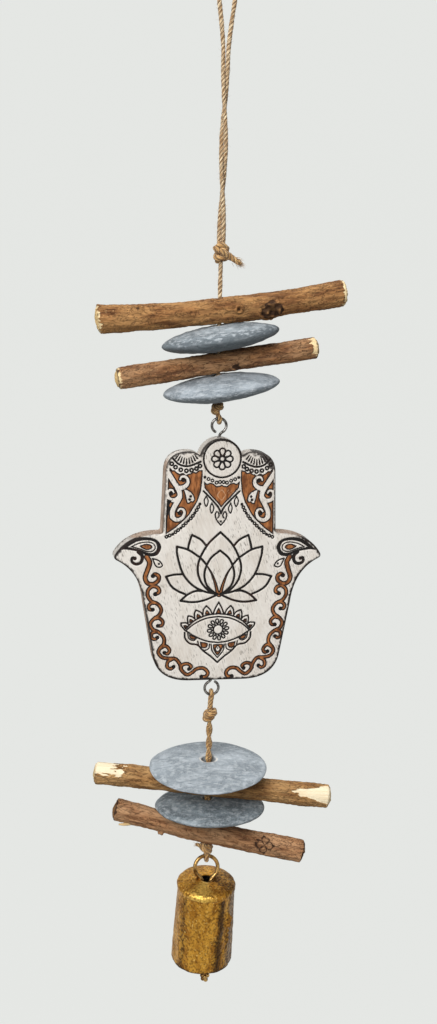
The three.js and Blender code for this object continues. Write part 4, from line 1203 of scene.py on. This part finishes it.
# %% Fingers: heart
HEART = [(-9, -21.2), (-7.4, -22.6), (-5.9, -22), (-4.3, -22.3), (-2.6, -23.7), (-1.1, -23.6), (0, -22.9)]
HEART_SIDE = [(-2.2, -31.6), (-5.2, -28.6), (-8.6, -24.5)]
right_side = [(-x, y) for x, y in HEART[-2::-1]] + [(-x, y) for x, y in HEART_SIDE[::-1]]
heart = HEART + right_side + [(0, -34.3)] + HEART_SIDE
fill(stains, heart, both=False, smooth=False)
draw(scratches, 0.45, [(0, -25.3), (-2.0, -27.8), (-1.2, -29.4), (0, -30.9)])
draw(scratches, 0.3, [(2.6, -26.6), (4.4, -24.6)], [(3.6, -27.2), (5.6, -25.4)],
     [(4.4, -27.8), (6.2, -26.4)], both=False)
draw(cuts, 1.0, [(-9, -26.1), (-4.3, -30.9), (-1.3, -34.5), (0, -37.4)])
fill(cuts, ringlet((-8.5, -19.2), 0.75))
draw(cuts, 0.62, *[ringlet(at, 0.7, 8) for at in ((-6.7, -20.1), (-4.7, -20.9), (-2.6, -21.9),
                                                  (-0.9, -21.6))], closed=True)
draw(cuts, 0.66, [(-7.7, -28.6), (-8.6, -31.1), (-7.5, -33.8), (-6.6, -31.1)],
     [(-4.7, -32), (-5.5, -34.5), (-4.8, -37.2), (-3.7, -34.9)], closed=True)
draw(cuts, 0.75, [(-2.3, -36.5), (-2.9, -38.2), (-2, -40.8), (0, -43.3)],
     [(-1.6, -36.6), (-0.9, -38.3), (-1.5, -39.6)])
fill(cuts, ringlet((0, -41.4), 0.6), both=False)

# %% Fingers: dotted line and burnt tips
DOTTED = even_steps(np.array([(-10.7, -32.6), (-12.3, -35.7), (-13.7, -38), (-15.5, -40.2), (-17.7, -42.3),
                              (-19.8, -44.4), (-21.8, -46), (-24, -47.7), (-27.1, -48.9)]), 1.75)
fill(cuts, *[ringlet(at, 0.8, 8) for at in DOTTED[::3]], squeeze=FINGERS)
draw(cuts, 0.72, *[ringlet(at, 0.66, 8) for at in np.delete(DOTTED, np.s_[::3], 0)], closed=True,
     squeeze=FINGERS)
fill(soots, [(15.1, -5.4), (16.3, -4.9), (19.8, -5.4), (22.9, -7.2), (25.4, -10.2), (26.4, -14.1),
             (24.2, -14.8), (22.6, -12.2), (20.2, -9.9), (17.6, -8.2), (15.2, -7.6)], both=False)
draw(soots, 0.9, [(-27.7, -15.5), (-27.1, -13), (-25.4, -9.6), (-22.6, -7.6), (-18.5, -6.8)], both=False)
draw(soots, 1.0, [(-51.4, -60.4), (-52.3, -58.4), (-48.9, -53.6), (-44, -50.5), (-40, -49)],
     [(51, -60.4), (51.4, -58.4), (47.8, -53.6), (43, -50.5), (39, -49)], both=False)

# %% Palm: lotus
draw(cuts, 1.15,
     [(0, -46.8), (-6.1, -52.8), (-10, -59.9), (-11.1, -65.7), (-9.5, -71.6), (-5.6, -76.3), (-0.6, -78.6)],
     [(0, -56.1), (-4.5, -59.9), (-7, -64.8), (-7.6, -69.2), (-6.1, -74.1), (-1.6, -78.4)],
     [(-14.4, -48.1), (-15.7, -52.5), (-16.2, -55.4)], [(-14.4, -48.1), (-10, -50.4), (-7.3, -53.3)],
     [(-21.8, -53.9), (-21.4, -58.7), (-18.6, -67.5), (-13.8, -73.5), (-8, -76.8), (-1.6, -78.4)],
     [(-21.8, -53.9), (-16.1, -55.6), (-10.6, -59.2)], [(-9.3, -60.3), (-7.0, -63.0)],
     [(-27, -69.1), (-23.1, -68.2), (-18.7, -68)], [(-27, -69.1), (-24.4, -73.8), (-21, -76.5),
                                                    (-17.3, -78.2)],
     [(-19.5, -81.6), (-15.7, -78.3), (-11.8, -76.7), (-8.7, -76.8)],
     [(-19.5, -81.6), (-13.2, -82.4), (-7.4, -81.5), (-1.6, -79.1)], squeeze=PALM)
draw(stains, (0.7, 1.9), [(-6.1, -64.4), (-3.8, -68.2), (-1.8, -73.7), (-0.8, -78)], squeeze=PALM)
fill(stains, ringlet((0, -78.5), 1.5), both=False)

# %% Palm: eye
draw(cuts, 0.8, [(-16.5, -97.1), (-12, -93.5), (-6.2, -90.9), (0, -90.1)],
     [(-16.5, -96), (-12, -91.9), (-6.2, -89.4), (0, -88.6)],
     [(-16.5, -97.1), (-11.3, -100.4), (-5.4, -102.8), (0, -103.6)], squeeze=PALM)
LASHES = [
    ([(-7.9, -88.7), (-7.7, -86.4), (-6.3, -84.4)], [(-6.3, -84.4), (-4.3, -86.4), (-3.3, -88.5)],
     (-5.6, -89.1)),
    ([(-12, -91), (-12.2, -88.5), (-11.6, -86.5)], [(-11.6, -86.5), (-9.2, -87.6), (-7.9, -89.3)],
     (-10, -90.8)),
    ([(-15.4, -93.4), (-15.7, -91.2), (-15.4, -89.4)], [(-15.4, -89.4), (-13.3, -90), (-11.7, -91.4)],
     (-13.7, -92.9)),
    ([(-16.8, -97), (-18.7, -94.6), (-19, -93.1)], [(-19, -93.1), (-16.6, -93), (-15, -93.9)],
     (-16.2, -95.6)),
    ([(-2.7, -88.5), (-1.7, -85.8), (0, -82.6)], [(0, -82.6), (1.7, -85.8), (2.7, -88.5)], (0, -88.8)),
]
for rise, fall, foot in LASHES:
    draw(cuts, 0.8, rise, fall, squeeze=PALM)
    fill(stains, np.array(foot) + 0.56 * (np.array(rise + fall[1:]) - foot), smooth=False, squeeze=PALM)
draw(cuts, 0.75, ringlet((0, -96.8), 2.4, 20), both=False, closed=True)
draw(cuts, 0.75, *petals((0, -96.8), 12, 2.9, 5.5, 1.9, 0.13), both=False, closed=True)
draw(cuts, 0.95, [(-17, -98.1), (-16.7, -101.1), (-14.2, -103.8), (-10.3, -104.7), (-7.3, -107.8),
                  (-3.3, -110.9), (0, -114)], squeeze=PALM)
draw(cuts, 0.66, [(-15.5, -98.3), (-14.7, -101.3), (-12.3, -102.3), (-10.8, -100.9)],
     [(-10.3, -102.7), (-9.3, -105.7), (-6.8, -107.5), (-4.6, -106.6), (-4.2, -104.3)],
     [(-3.4, -104.4), (-2.8, -107.9), (0, -111.5)],
     squeeze=PALM)
fill(stains, [(-14.9, -98.9), (-14.1, -101.2), (-12.2, -101.7), (-11.2, -100.7)],
     [(-9.2, -102.9), (-8.3, -105.9), (-5.9, -106.1), (-5.3, -103.9)],
     squeeze=PALM)
fill(stains, [(-2.5, -104.5), (-2.1, -107.2), (0, -110.2), (2.1, -107.2), (2.5, -104.5)], both=False)
fill(plain, [(0, -105.2), (-1, -106.8), (0, -108.2), (1, -106.8)], both=False)
fill(cuts, ringlet((0, -106.5), 0.4, 8), both=False)

# %% Thumbs
paisleys, hollows = [], []
fill(paisleys, [(-50.8, -55.6), (-46.9, -52.1), (-42.1, -49.4), (-36.7, -49), (-31.9, -50.4),
                (-29.6, -53.9), (-31.2, -57.8), (-34.4, -58.8), (-37.1, -58.2), (-39.8, -56.6),
                (-43.6, -55.7), (-47.9, -55.1)], squeeze=THUMBS)
fill(hollows, [(-46.2, -53.8), (-41.5, -51.2), (-36.4, -50.6), (-32.7, -51.7), (-31.7, -54.4),
               (-33.2, -56.7), (-36.3, -56.8), (-40.4, -55.2)], squeeze=THUMBS)
draw(cuts, 0.6, [(-44.4, -53.7), (-40.4, -52), (-36.1, -51.5), (-33.4, -52.5), (-32.6, -54.5), (-34, -56.1),
                 (-36.6, -56.2), (-40.4, -54.8)],
     closed=True, squeeze=THUMBS)
fill(stains, [(-40.4, -53.4), (-37.2, -52.3), (-34.5, -53.1), (-34.2, -54.5), (-36.4, -55.4),
              (-38.9, -54.6)], squeeze=THUMBS)
draw(cuts, (1.9, 1.3), [(-40.9, -56.4), (-39, -58.5), (-39.5, -61.5), (-41.9, -62.5), (-44, -61.3),
                        (-43.9, -59.4), (-42.4, -59.4)],
     squeeze=THUMBS)
fill(cuts, ringlet((-42.6, -59.7), 0.95), squeeze=THUMBS)
draw(stains, (2.7, 2.1), [(-36.8, -58.9), (-35.3, -61.8), (-36.2, -65.4), (-37.4, -69.2), (-36.3, -72),
                          (-33.7, -72.8), (-31, -71.2), (-30.7, -68.9), (-32.4, -67.8), (-33.5, -68.6)],
     squeeze=THUMBS)
fill(cuts, ringlet((-33.3, -68.7), 1.0), squeeze=THUMBS)
draw(cuts, 0.72, [(-33.9, -59.8), (-30.6, -61), (-28.9, -63.3), (-30.3, -64.3), (-32.2, -63.5)],
     closed=True, squeeze=THUMBS)
fill(cuts, ringlet((-30.6, -62.6), 0.6, 8), squeeze=THUMBS)

# %% Borders
VINE = [
    (-32.2, -78), (-30.3, -76.8), (-30.9, -74.7), (-33.6, -73.9), (-35.8, -75.8), (-36, -78.6),
    (-34.1, -81.4), (-30.8, -83.1), (-29.1, -85.9), (-30.1, -88.7), (-32.8, -90.6), (-34.4, -93.1),
    (-33.3, -95.9), (-30.5, -97.3), (-27.8, -99.9), (-27.4, -103.3), (-29.6, -106.1), (-30.1, -108.3),
    (-28.1, -110.6), (-24.8, -111.3), (-21.5, -111.6), (-19.3, -114.2), (-18.1, -117.7), (-15.3, -120),
    (-12.6, -118.7), (-10.4, -117), (-7, -116.9), (-4.8, -119.2), (-5.8, -121.3), (-8, -121.3),
]
CURLS = [
    [(-31.9, -82.4), (-34, -82.5), (-35.4, -83.9), (-35, -85.6), (-33.3, -85.9)],
    [(-32.8, -90.6), (-30.1, -90.3), (-28.2, -92.1), (-28.7, -94), (-30.6, -94.3)],
    [(-31.1, -97.2), (-33.4, -97.8), (-33.8, -100.1), (-32.2, -101.1), (-30.8, -100.3)],
    [(-29.2, -105.8), (-26.6, -104.7), (-24.6, -106.8), (-25.4, -108.7), (-27.1, -108.3)],
    [(-22.9, -111.5), (-25.2, -112.9), (-25.6, -115.5), (-23.9, -116.7), (-22.3, -115.7)],
    [(-18.7, -116.8), (-17.9, -114.8), (-15.4, -114.3), (-13.4, -115.6), (-14.4, -117.1)],
]
draw(stains, 2.0, VINE, squeeze=BORDER)
draw(stains, (2.0, 1.8), *CURLS, squeeze=BORDER)
fill(cuts, *[ringlet(at, 1.0) for at in [curl[-1] for curl in CURLS] + [VINE[0], VINE[-1]]], squeeze=BORDER)

# %% Distance to the pattern
def field(points, shapes, reach=1.5):
    """The signed distance to the nearest shape: negative inside a stroke or a filled place."""
    near = np.full(len(points), FAR_OFF)
    for line, half, closed in shapes:
        edge = reach if half is None else reach + half.max()
        some = np.flatnonzero(((points > line.min(0) - edge) & (points < line.max(0) + edge)).all(1))
        if len(some):
            far, which, inside = to_segments(points[some], line, closed)
            gap = np.where(inside, -far, far) if half is None else far - half[which]
            near[some] = np.minimum(near[some], gap)
    return near


def pattern(places):
    """The distances to the carved and to the stained shapes, at places on the board."""
    at = places - (AXIS, 0)
    groove = np.minimum(field(at, cuts), np.maximum(field(at, paisleys), -field(at, hollows)))
    return groove, np.maximum(field(at, stains), -field(at, plain))


print(len(cuts), "cuts,", len(stains), "stained shapes,", len(plain), "plain ones")

# %% [markdown]
# ### The board's faces
#
# The faces are triangles over staggered rows of points. The front needs fine ones where the pattern
# runs and can do with wider ones on plain paint, so away from it only every second point is kept.

# %% Sheets
SHEET_WIDE, SHEET_TALL = 106, 125
ROW = 0.866  # from row to row, where places in a row are 1 apart


def hex_places(step, carved):
    """Places in staggered rows inside the outline; on the carved face those that lie more than 0.8
    from any edge of the pattern are thinned to every second row and column."""
    row = np.arange(int(SHEET_TALL / (ROW * step)))[:, None]
    column = np.arange(int(SHEET_WIDE / step))[None]
    sparse = ((row % 2 == 0) & ((column + row // 2) % 2 == 0)).ravel()
    across, up = step * (column + row % 2 / 2) - SHEET_WIDE / 2, 0.5 - ROW * step * row
    grid = np.stack(np.broadcast_arrays(across, up), -1).reshape(-1, 2)
    far, _, inside = to_segments(grid, OUTLINE[::2], True)
    kept = inside & (far > EDGE_ROUND + step / 2)
    grid, sparse = grid[kept], sparse[kept]
    return grid[sparse | (np.abs(pattern(grid)).min(0) < 0.8)] if carved else grid


def sheet_of(step, rings, carved):
    """Triangles over the outline: its own points, rings that follow it further in, and a hex grid."""
    tangent = unit(np.roll(OUTLINE, -1, 0) - np.roll(OUTLINE, 1, 0))
    inward = tangent[:, ::-1] * (1, -1)
    points = [OUTLINE]
    for depth in rings:
        ring = OUTLINE + depth * inward
        far, _, inside = to_segments(ring, OUTLINE, True)
        points.append(ring[inside & (far > 0.93 * depth)])
    points = np.concatenate(points + [hex_places(step, carved)])
    count = len(OUTLINE)
    border = [(i, (i + 1) % count) for i in range(count)]
    made = delaunay_2d_cdt([Vector(p) for p in points], border, [], 1, 1e-7)
    places, triangles = np.array([tuple(v) for v in made[0]]), np.array(made[2])
    a, b, c = (places[triangles[:, k]] for k in range(3))
    turned = np.cross(np.c_[b - a, 0 * b[:, 0]], np.c_[c - a, 0 * b[:, 0]])[:, 2] < 0
    triangles[turned] = triangles[turned][:, ::-1]
    far = to_segments(places, OUTLINE, True)[0]
    far[:count] = 0
    return places, triangles, far


front, front_faces, front_deep = sheet_of(0.29, (0.12, 0.35, 0.7, 1.15), True)
back, back_faces, back_deep = sheet_of(2.5, (0.35, 1.15), False)
groove, stain = pattern(front)
scratch, soot_and_edge_shade = field(front - (AXIS, 0), scratches), field(front - (AXIS, 0), soots)
print("front sheet", len(front), "points,", len(front_faces), "triangles; back", len(back_faces))

# %% Paint finish
def paint_finish():
    """White paint, greyer at the back, with short grey rubs that slant across it in clusters; black in the
    cuts, brown stain with black edges in the wide places, tan wood on the sides, and soot on worn edges,
    with painted shade along the right and bottom edges."""
    tree, shader, finish = new_finish("painted_board", Roughness=0.66, Specular_IOR_Level=0.3)
    place = object_place(tree)
    slant = node(tree, "VectorRotate", {"Vector": place, "Axis": (0.0, 1.0, 0.0), "Angle": 0.28}).outputs[0]
    rub = grain(tree, slant, (0.5, 0.5, 3.0), 0.55, 0.67, 2.0)
    cluster = grain(tree, place, (8.0, 8.0, 12.0), 0.43, 0.58, 2.0)
    warm = grain(tree, place, (9.0, 9.0, 16.0), 0.4, 0.65, 2.0)
    haze = grain(tree, slant, (1.0, 1.0, 7.0), 0.35, 0.7, 3.0)
    tone = mix(tree, warm, ink("E3DCD3"), ink("D9D0C5"))
    tone = tint(tree, tone, haze, "EDE8E0", 0.45)
    rubbed = math_of(tree, "MULTIPLY", rub, math_of(tree, "MULTIPLY", cluster, 0.8))
    tone = tint(tree, tone, rubbed, "8F887E")
    behind = node(tree, "SeparateXYZ", {0: place}).outputs[1]
    tone = tint(tree, tone, span(tree, behind, FACE - 2.0, FACE - 0.5, 0.0, 0.6), "B9B1A4")
    scuff = grain(tree, place, (1.6, 1.6, 3.0), 0.45, 0.6, 3.0)
    bare = mix(tree, grain(tree, place, (0.5, 3.0, 7.0), 0.35, 0.7, 3.0), ink("CDB6A3"), ink("A18570"))
    side = math_of(tree, "ADD", attribute(tree, "side"), math_of(tree, "MULTIPLY", scuff, 0.3))
    tone = mix(tree, span(tree, side, 0.6, 1.05), tone, bare)
    stain = attribute(tree, "stain")
    brown = mix(tree, grain(tree, place, (1.6, 1.6, 5.0), 0.33, 0.68, 4.0), ink("653818"), ink("B0703F"))
    tone = mix(tree, span(tree, stain, -0.1, 0.08, 1.0, 0.0), tone, brown)
    rim = math_of(tree, "MULTIPLY", span(tree, stain, -0.75, -0.42),
                  span(tree, stain, 0.04, 0.16, 1.0, 0.0))
    tone = tint(tree, tone, rim, "1E110A")
    tone = tint(tree, tone, span(tree, attribute(tree, "scratch"), -0.15, 0.1, 0.8, 0.0), "D2AB88")
    black = mix(tree, grain(tree, place, 7.0, 0.55, 0.72, 2.0), ink("0D0704"), ink("26130A"))
    tone = mix(tree, span(tree, attribute(tree, "groove"), -0.1, 0.1, 1.0, 0.0), tone, black)
    # soot and wear on the edges, with painted shade along the right and bottom edges
    tone = tint(tree, tone, attribute(tree, "soot_and_edge_shade"), "1A0F09")
    tree.links.new(tone, shader.inputs["Base Color"])
    relief(tree, shader, math_of(tree, "MULTIPLY", rub, -1.0), 0.08)
    return finish


# %% Round edges, soot and painted edge shade
def rounded(far):
    """How far the face lies back from flat near its edge: a quarter circle of the edge's round."""
    inner = EDGE_ROUND - np.clip(far, 0, EDGE_ROUND)
    return EDGE_ROUND - np.sqrt(np.maximum(EDGE_ROUND**2 - inner**2, 0))


def worn_edge_and_shade(points, deep):
    """How dark the edge is: soot and wear, full at the outline and gone within a millimetre, broken up by
    noise, and fainter on the fingers and on top of the thumbs near their roots; as painted shade it is also
    fainter on the palm's left side and wider on the right and at the bottom, away from the light. The upper
    walls of the thumbs are dusty all over."""
    x, y, z = points.T
    share = np.where(z > -46.8, 0.75 - 0.3 * (x < -24) * (z < -12), 1.0)
    share = share * (1 - 0.75 * (np.abs(x) < 42) * (z < -46.8) * (z > -52))
    # painted shade: the edge line is fainter on the palm's left side, which faces the light
    share = share * (1 - 0.25 * (x < 0) * (z < -66) * (z > -108))
    ragged = deep + 0.16 * waves(points, 1.7, 611) + 0.14 * waves(points, 7.0, 612)
    # painted shade: the edge line is wider on the right and at the bottom, away from the light
    width = 0.4 + 0.65 * share + 0.35 * (x > 25) * (z < -62) + 0.3 * (z < -112)
    line = 1 - ramp(width - 0.25, width + 0.3, ragged)
    dusty = 0.3 * (np.abs(x) > 29) * (z < -46.9) * (z > -58.5) * (1 - ramp(0, 0.5, deep))
    dusty = dusty * (1 + 0.3 * waves(points, 3.0, 614)) * (np.abs(y) < FACE - 0.8)
    in_front = (y < 0) * (1 - ramp(-FACE + 1.4, -FACE + 2.6, y))
    return np.maximum(np.minimum(share + 0.2, 1) * line * in_front, dusty)


# %% Join the faces
carved = 0.5 * (1 - ramp(-0.25, 0.2, groove)) + 0.3 * (1 - ramp(-0.3, 0.2, stain))
front_y = -FACE + rounded(front_deep) + carved * ramp(0, 0.5, front_deep)
front_points = np.stack([front[:, 0], front_y, front[:, 1]], -1)
back_points = np.stack([back[:, 0], FACE - rounded(back_deep), back[:, 1]], -1)
count, levels = len(OUTLINE), np.linspace(-FACE + EDGE_ROUND, FACE - EDGE_ROUND, 8)[1:-1]
wall = np.stack(np.broadcast_arrays(OUTLINE[None, :, 0], levels[:, None], OUTLINE[None, :, 1]), -1)
wall = wall.reshape(-1, 3)
loops = np.arange((len(levels) + 2) * count).reshape(-1, count) + len(front) - count
loops[0], loops[-1] = np.arange(count), len(front) + len(wall) + np.arange(count)
here, there = loops, np.roll(loops, -1, 1)
wall_faces = np.stack([here[:-1], there[:-1], there[1:], here[1:]], -1).reshape(-1, 4)
board_points = np.concatenate([front_points, wall, back_points])
deep = np.concatenate([front_deep, np.zeros(len(wall)), back_deep])
over_wall = np.tile(field(OUTLINE - (AXIS, 0), soots), len(levels))
over_wall = over_wall + 2 * (1 - ramp(0, 3, wall[:, 1])) * (wall[:, 0] < 0)
soot_and_edge_shade = np.concatenate([soot_and_edge_shade, over_wall, np.full(len(back), FAR_OFF)])
burnt = 0.9 * (1 - ramp(-0.4, 0.5, soot_and_edge_shade + 0.35 * waves(board_points, 1.5, 613)))
tip_paint = 1 - 0.6 * ramp(-13, -9, board_points[:, 2])
thumb_paint = 1 - 0.8 * ramp(42, 46, np.abs(board_points[:, 0]))
board = {
    "points": board_points + BOARD_AT,
    "faces": [front_faces, wall_faces, back_faces[:, ::-1] + len(front) + len(wall)],
    "side": (1 - ramp(0, 0.8, deep)) * tip_paint * thumb_paint,
    # soot, worn edges and the painted shade along the right and bottom edges
    "soot_and_edge_shade": np.maximum(worn_edge_and_shade(board_points, deep), burnt),
}
for key, value in (("groove", groove), ("stain", stain), ("scratch", scratch)):
    board[key] = np.concatenate([value, np.full(len(wall) + len(back), FAR_OFF)])
add_piece("hand_carved", [board], paint_finish(), "hand", ["hand_board"])

# %% [markdown]
# ## Bell, ring and clapper
#
# The bell is sheet brass rolled into a tube, with a domed top hammered over and brazed on. A lathe
# profile gives the shell, inner wall included; the hammer's work is noise on the radius, in upright
# panels as the sheet was rolled. The ring and the clapper's hook are one bent wire.

# %% Bell finish
def bell_finish():
    """Old gold with a brown speckle and pale flecks; darker in the upright bands and inside, with painted
    shade on the right side and at the bottom rim and a painted highlight on the left of the cap, and duller
    on the solder."""
    tree, shader, finish = new_finish("bell_brass", Metallic=0.85)
    place = object_place(tree)
    patch = grain(tree, place, (4.0, 4.0, 8.0), 0.36, 0.66, 4.0)
    speckle = grain(tree, place, (1.1, 1.1, 1.4), 0.42, 0.66, 4.0)
    fleck = grain(tree, place, (0.9, 0.9, 1.2), 0.62, 0.72, 2.0)
    tone = mix(tree, patch, ink("D49B3A"), ink("A56F22"))
    tone = tint(tree, tone, speckle, "4C2F0A", 0.6)
    tone = tint(tree, tone, fleck, "F2CC7A", 0.7)
    # dark upright bands, painted shade on the right side and the bottom rim, and below 0 a painted
    # highlight on the left of the cap
    band_shade_and_highlight = math_of(tree, "ADD", attribute(tree, "band_shade_and_highlight"), math_of(tree, "MULTIPLY", speckle, 0.25))
    tone = tint(tree, tone, span(tree, band_shade_and_highlight, 0.15, 1.15, 0.0, 0.9), "2A1705")
    tone = tint(tree, tone, span(tree, band_shade_and_highlight, -0.5, -0.1, 0.75, 0.0), "F0C966")
    tone = tint(tree, tone, span(tree, attribute(tree, "brazed"), 0.15, 0.6, 0.0, 0.7), "8E6128")
    tone = tint(tree, tone, attribute(tree, "hollow"), "1C1006")
    tree.links.new(tone, shader.inputs["Base Color"])
    rough = span(tree, math_of(tree, "ADD", patch, speckle), 0.0, 1.6, 0.3, 0.52)
    tree.links.new(rough, shader.inputs["Roughness"])
    dimple = grain(tree, place, (1.6, 1.6, 2.2), 0.3, 0.7, 3.0)
    relief(tree, shader, math_of(tree, "SUBTRACT", dimple, math_of(tree, "MULTIPLY", speckle, 0.5)), 0.14)
    return finish


BELL_BRASS = bell_finish()

# %% Bell profile
BELL_AT = HANG["bell_nod"]
BELL_TURN = tilt(-0.6, 9, 0)
BELL_TALL, BELL_WALL = 46.7, 1.1
CAP_RADIUS, RIM_WIDER = 15.3, 0.9
SEAM, SEAM_RADIUS = np.radians(-45), 15.9  # the seam lies to the right of the front
RING_RADIUS = 6.1
RING_TIP = math.radians(23.5)  # the ring's plane, round from the bell's own axis


def on_ring(across, up):
    """A place in the ring's plane, sideways and up from its top wire."""
    across, up = np.broadcast_arrays(across, up)
    return np.stack([across, up * math.sin(RING_TIP), up * math.cos(RING_TIP)], -1).astype(float)


CROWN = on_ring(0.0, -12.8)


def bell_face(inset):
    """The face from the rim up to the crown hole as radius and height: a side that narrows evenly, a
    fold under the cap, a round shoulder, and a low dome; the inner one lies further in by the wall."""
    down = np.linspace(BELL_TALL, 2.3, 88)
    fold = 0.35 * ramp(2.7, 3.7, down) * (inset == 0)
    side = np.stack([CAP_RADIUS + RIM_WIDER * down / BELL_TALL - inset - fold, -down], -1)
    turn = np.radians(np.linspace(0, 70, 14))
    middle = 13.34  # of the shoulder's arc
    shoulder = np.stack([middle + (2.0 - inset) * np.cos(turn), -2.1 + (2.0 - inset) * np.sin(turn)], -1)
    dome = bent(shoulder[-1], (0.75 * middle, 1.2 - inset), (3.4, 1.3 - inset), 30)
    return np.concatenate([side, shoulder, dome])


# %% Bell shell
def bell_shell():
    """The profile carried round: inner face down, rim, outer face up; then hammer marks as noise on the
    radius, and a lump of solder on the seam. The points carry where the lump, the dark upright bands, the
    painted shade on the right side and at the bottom rim, the painted highlight on the cap, and the hollow
    side lie."""
    inner, outer = bell_face(BELL_WALL)[::-1], bell_face(0.0)
    rim = np.array([(15.3, -46.85), (15.6, -46.95), (15.75, -46.85)])
    profile = np.concatenate([inner, rim, outer])
    angle = even_turn(224)[None]
    radius, height = profile[:, :1], profile[:, 1:] + 0 * angle
    ring = np.stack([radius * np.cos(angle), radius * np.sin(angle), height], -1)
    on_side = ramp(-2.7, -4.1, height)
    flats = np.stack([16 * np.cos(angle) + 0 * height, 16 * np.sin(angle) + 0 * height, height], -1)
    panels = 0.12 * waves(flats, (9, 9, 60), 801) * on_side
    hammer = 0.06 * waves(ring, (5, 5, 7), 802) + 0.03 * waves(ring, 2.4, 803)
    gap = SEAM_RADIUS * np.angle(np.exp(1j * (angle - SEAM)))
    lump = sum(np.exp(-(((gap - aside) / size) ** 2) - ((height + drop) / (1.2 * size)) ** 2)
               for aside, drop, size in ((-0.4, 14.6, 1.3), (0.8, 17.4, 1.5), (-0.8, 19.6, 1.4)))
    lump *= 1 + 0.35 * waves(ring, 1.8, 804)
    run = 0.4 * np.exp(-((gap / 0.9) ** 2) - ((height + 26) / 6.5) ** 2)
    lump += run * (1 + 0.5 * waves(ring, 2.2, 806))
    outside = np.concatenate([np.zeros(len(inner)), np.full(3, 0.5), np.ones(len(outer))])[:, None]
    out = radius + panels + hammer * (radius > 4) + 1.4 * lump * outside
    level = height + 0.1 * waves(flats, 14, 805) * (height < -46)
    grid = np.stack([out * np.cos(angle), out * np.sin(angle), level], -1)
    round_it = np.degrees(np.angle(np.exp(1j * (angle + np.pi / 2))))
    round_it = round_it + 1.5 * waves(flats, (30, 30, 16), 807)
    towards_back = ramp(172, 105, round_it)  # the painted shade on the right side fades out before the back
    bands = np.exp(-(((round_it - 22) / 10) ** 2)) + 0.6 * np.exp(-(((round_it + 54) / 9) ** 2))
    # painted shade on the right side, away from the light
    bands += 0.75 * ramp(30, 45, round_it) * towards_back
    # on the cap: painted shade on the right side and a painted highlight on the left front
    on_cap = 0.75 * ramp(10, 60, round_it) * towards_back - 0.5 * np.exp(-(((round_it + 22) / 34) ** 2))
    bands = bands * on_side + (1 - on_side) * on_cap
    # painted shade at the bottom rim
    bands += 0.8 * (1 - ramp(-46.4, -45.6, height))
    rows, columns = grid.shape[:2]
    faces = grid_faces(rows + 1, columns) % (rows * columns)
    return {"points": (grid + CROWN).reshape(-1, 3), "faces": [faces],
            "brazed": np.clip(lump * outside, 0, 1).ravel(), "band_shade_and_highlight": bands.ravel(),
            "hollow": np.broadcast_to(1 - outside, height.shape).ravel()}


shell = placed(bell_shell(), BELL_TURN, BELL_AT)
add_piece("bell_hammered", [shell], BELL_BRASS, "bell", ["bell_shell"])

# %% Ring
def arc(centre, radius, start, end, step):
    """Points on a circle in the XZ plane, from one angle to another."""
    turn = np.radians(np.arange(start, end + step / 2, step))
    return np.stack([centre[0] + radius * np.cos(turn), 0 * turn, centre[1] + radius * np.sin(turn)], -1)


clinch = np.array([(-5.4, 0, -4.0), (-3.5, 0, -3.5), (-1.9, 0, -2.1), (-2.3, 0, 0.1)]) + CROWN
circle = np.radians(np.linspace(234, -54, 13))
leg = np.array([(2.3, 0, 0.1), (1.9, 0, -1.3)]) + CROWN
ring_path = np.concatenate([clinch, on_ring(RING_RADIUS * np.cos(circle),
                                            RING_RADIUS * np.sin(circle) - RING_RADIUS), leg,
                            arc((0, -5.7), 2.4, 25, -185, -30) + CROWN])
ring = placed(wire(smooth_path(ring_path, 0.3), RING_WIRE), BELL_TURN, BELL_AT)
add_piece("bell_ring_wire", [ring], WIRE_BRASS, "bell", ["bell_ring"])

# %% Clapper
ROD = [  # radius and height, from the eye down to the end
    (1.0, -2.4), (1.0, -20), (1.0, -41), (1.5, -43), (1.9, -44.4), (1.3, -45.6), (1.4, -47.4), (0.9, -48.9),
]
LUMPS = (  # middle and radius
    ((-1.35, -0.5, -46.3), 1.15), ((1.4, -0.4, -46.6), 1.25), ((0.1, -1.3, -47.0), 1.2),
    ((0.2, 1.3, -46.6), 1.2), ((-0.9, -0.3, -48.3), 1.2), ((0.55, -0.3, -49.0), 1.25),
)


def clapper():
    """An eye of bent wire, below it a rod with a waisted end, and round that end a clover of small
    lumps: balls whose rings are sines and cosines of the angle from the top."""
    eye = smooth_path(arc((0, -0.3), 2.3, -80, 250, 15)[:, [1, 0, 2]], 0.25)
    eye = closed_grid(swept(eye, SIDEWAYS, 0.7, 12))
    shape = smooth_path(ROD, 0.3)[::-1]
    angle = even_turn(24)[None]
    end = np.stack([shape[:, :1] * np.cos(angle), shape[:, :1] * np.sin(angle), shape[:, 1:] + 0 * angle],
                   -1)
    lumps = [moved(core(2 * size, 2 * size), at) for at, size in LUMPS]
    return [eye, closed_grid(end)] + lumps


clapper_at = BELL_TURN @ (CROWN + (0, 0, -8.1)) + BELL_AT
plumb_again = BELL_TURN @ tilt(1.2, -9, 0)
hung = [placed(patch, plumb_again, clapper_at) for patch in clapper()]
add_piece("clapper_wire", hung, WIRE_BRASS, "bell_clapper", ["clapper"])
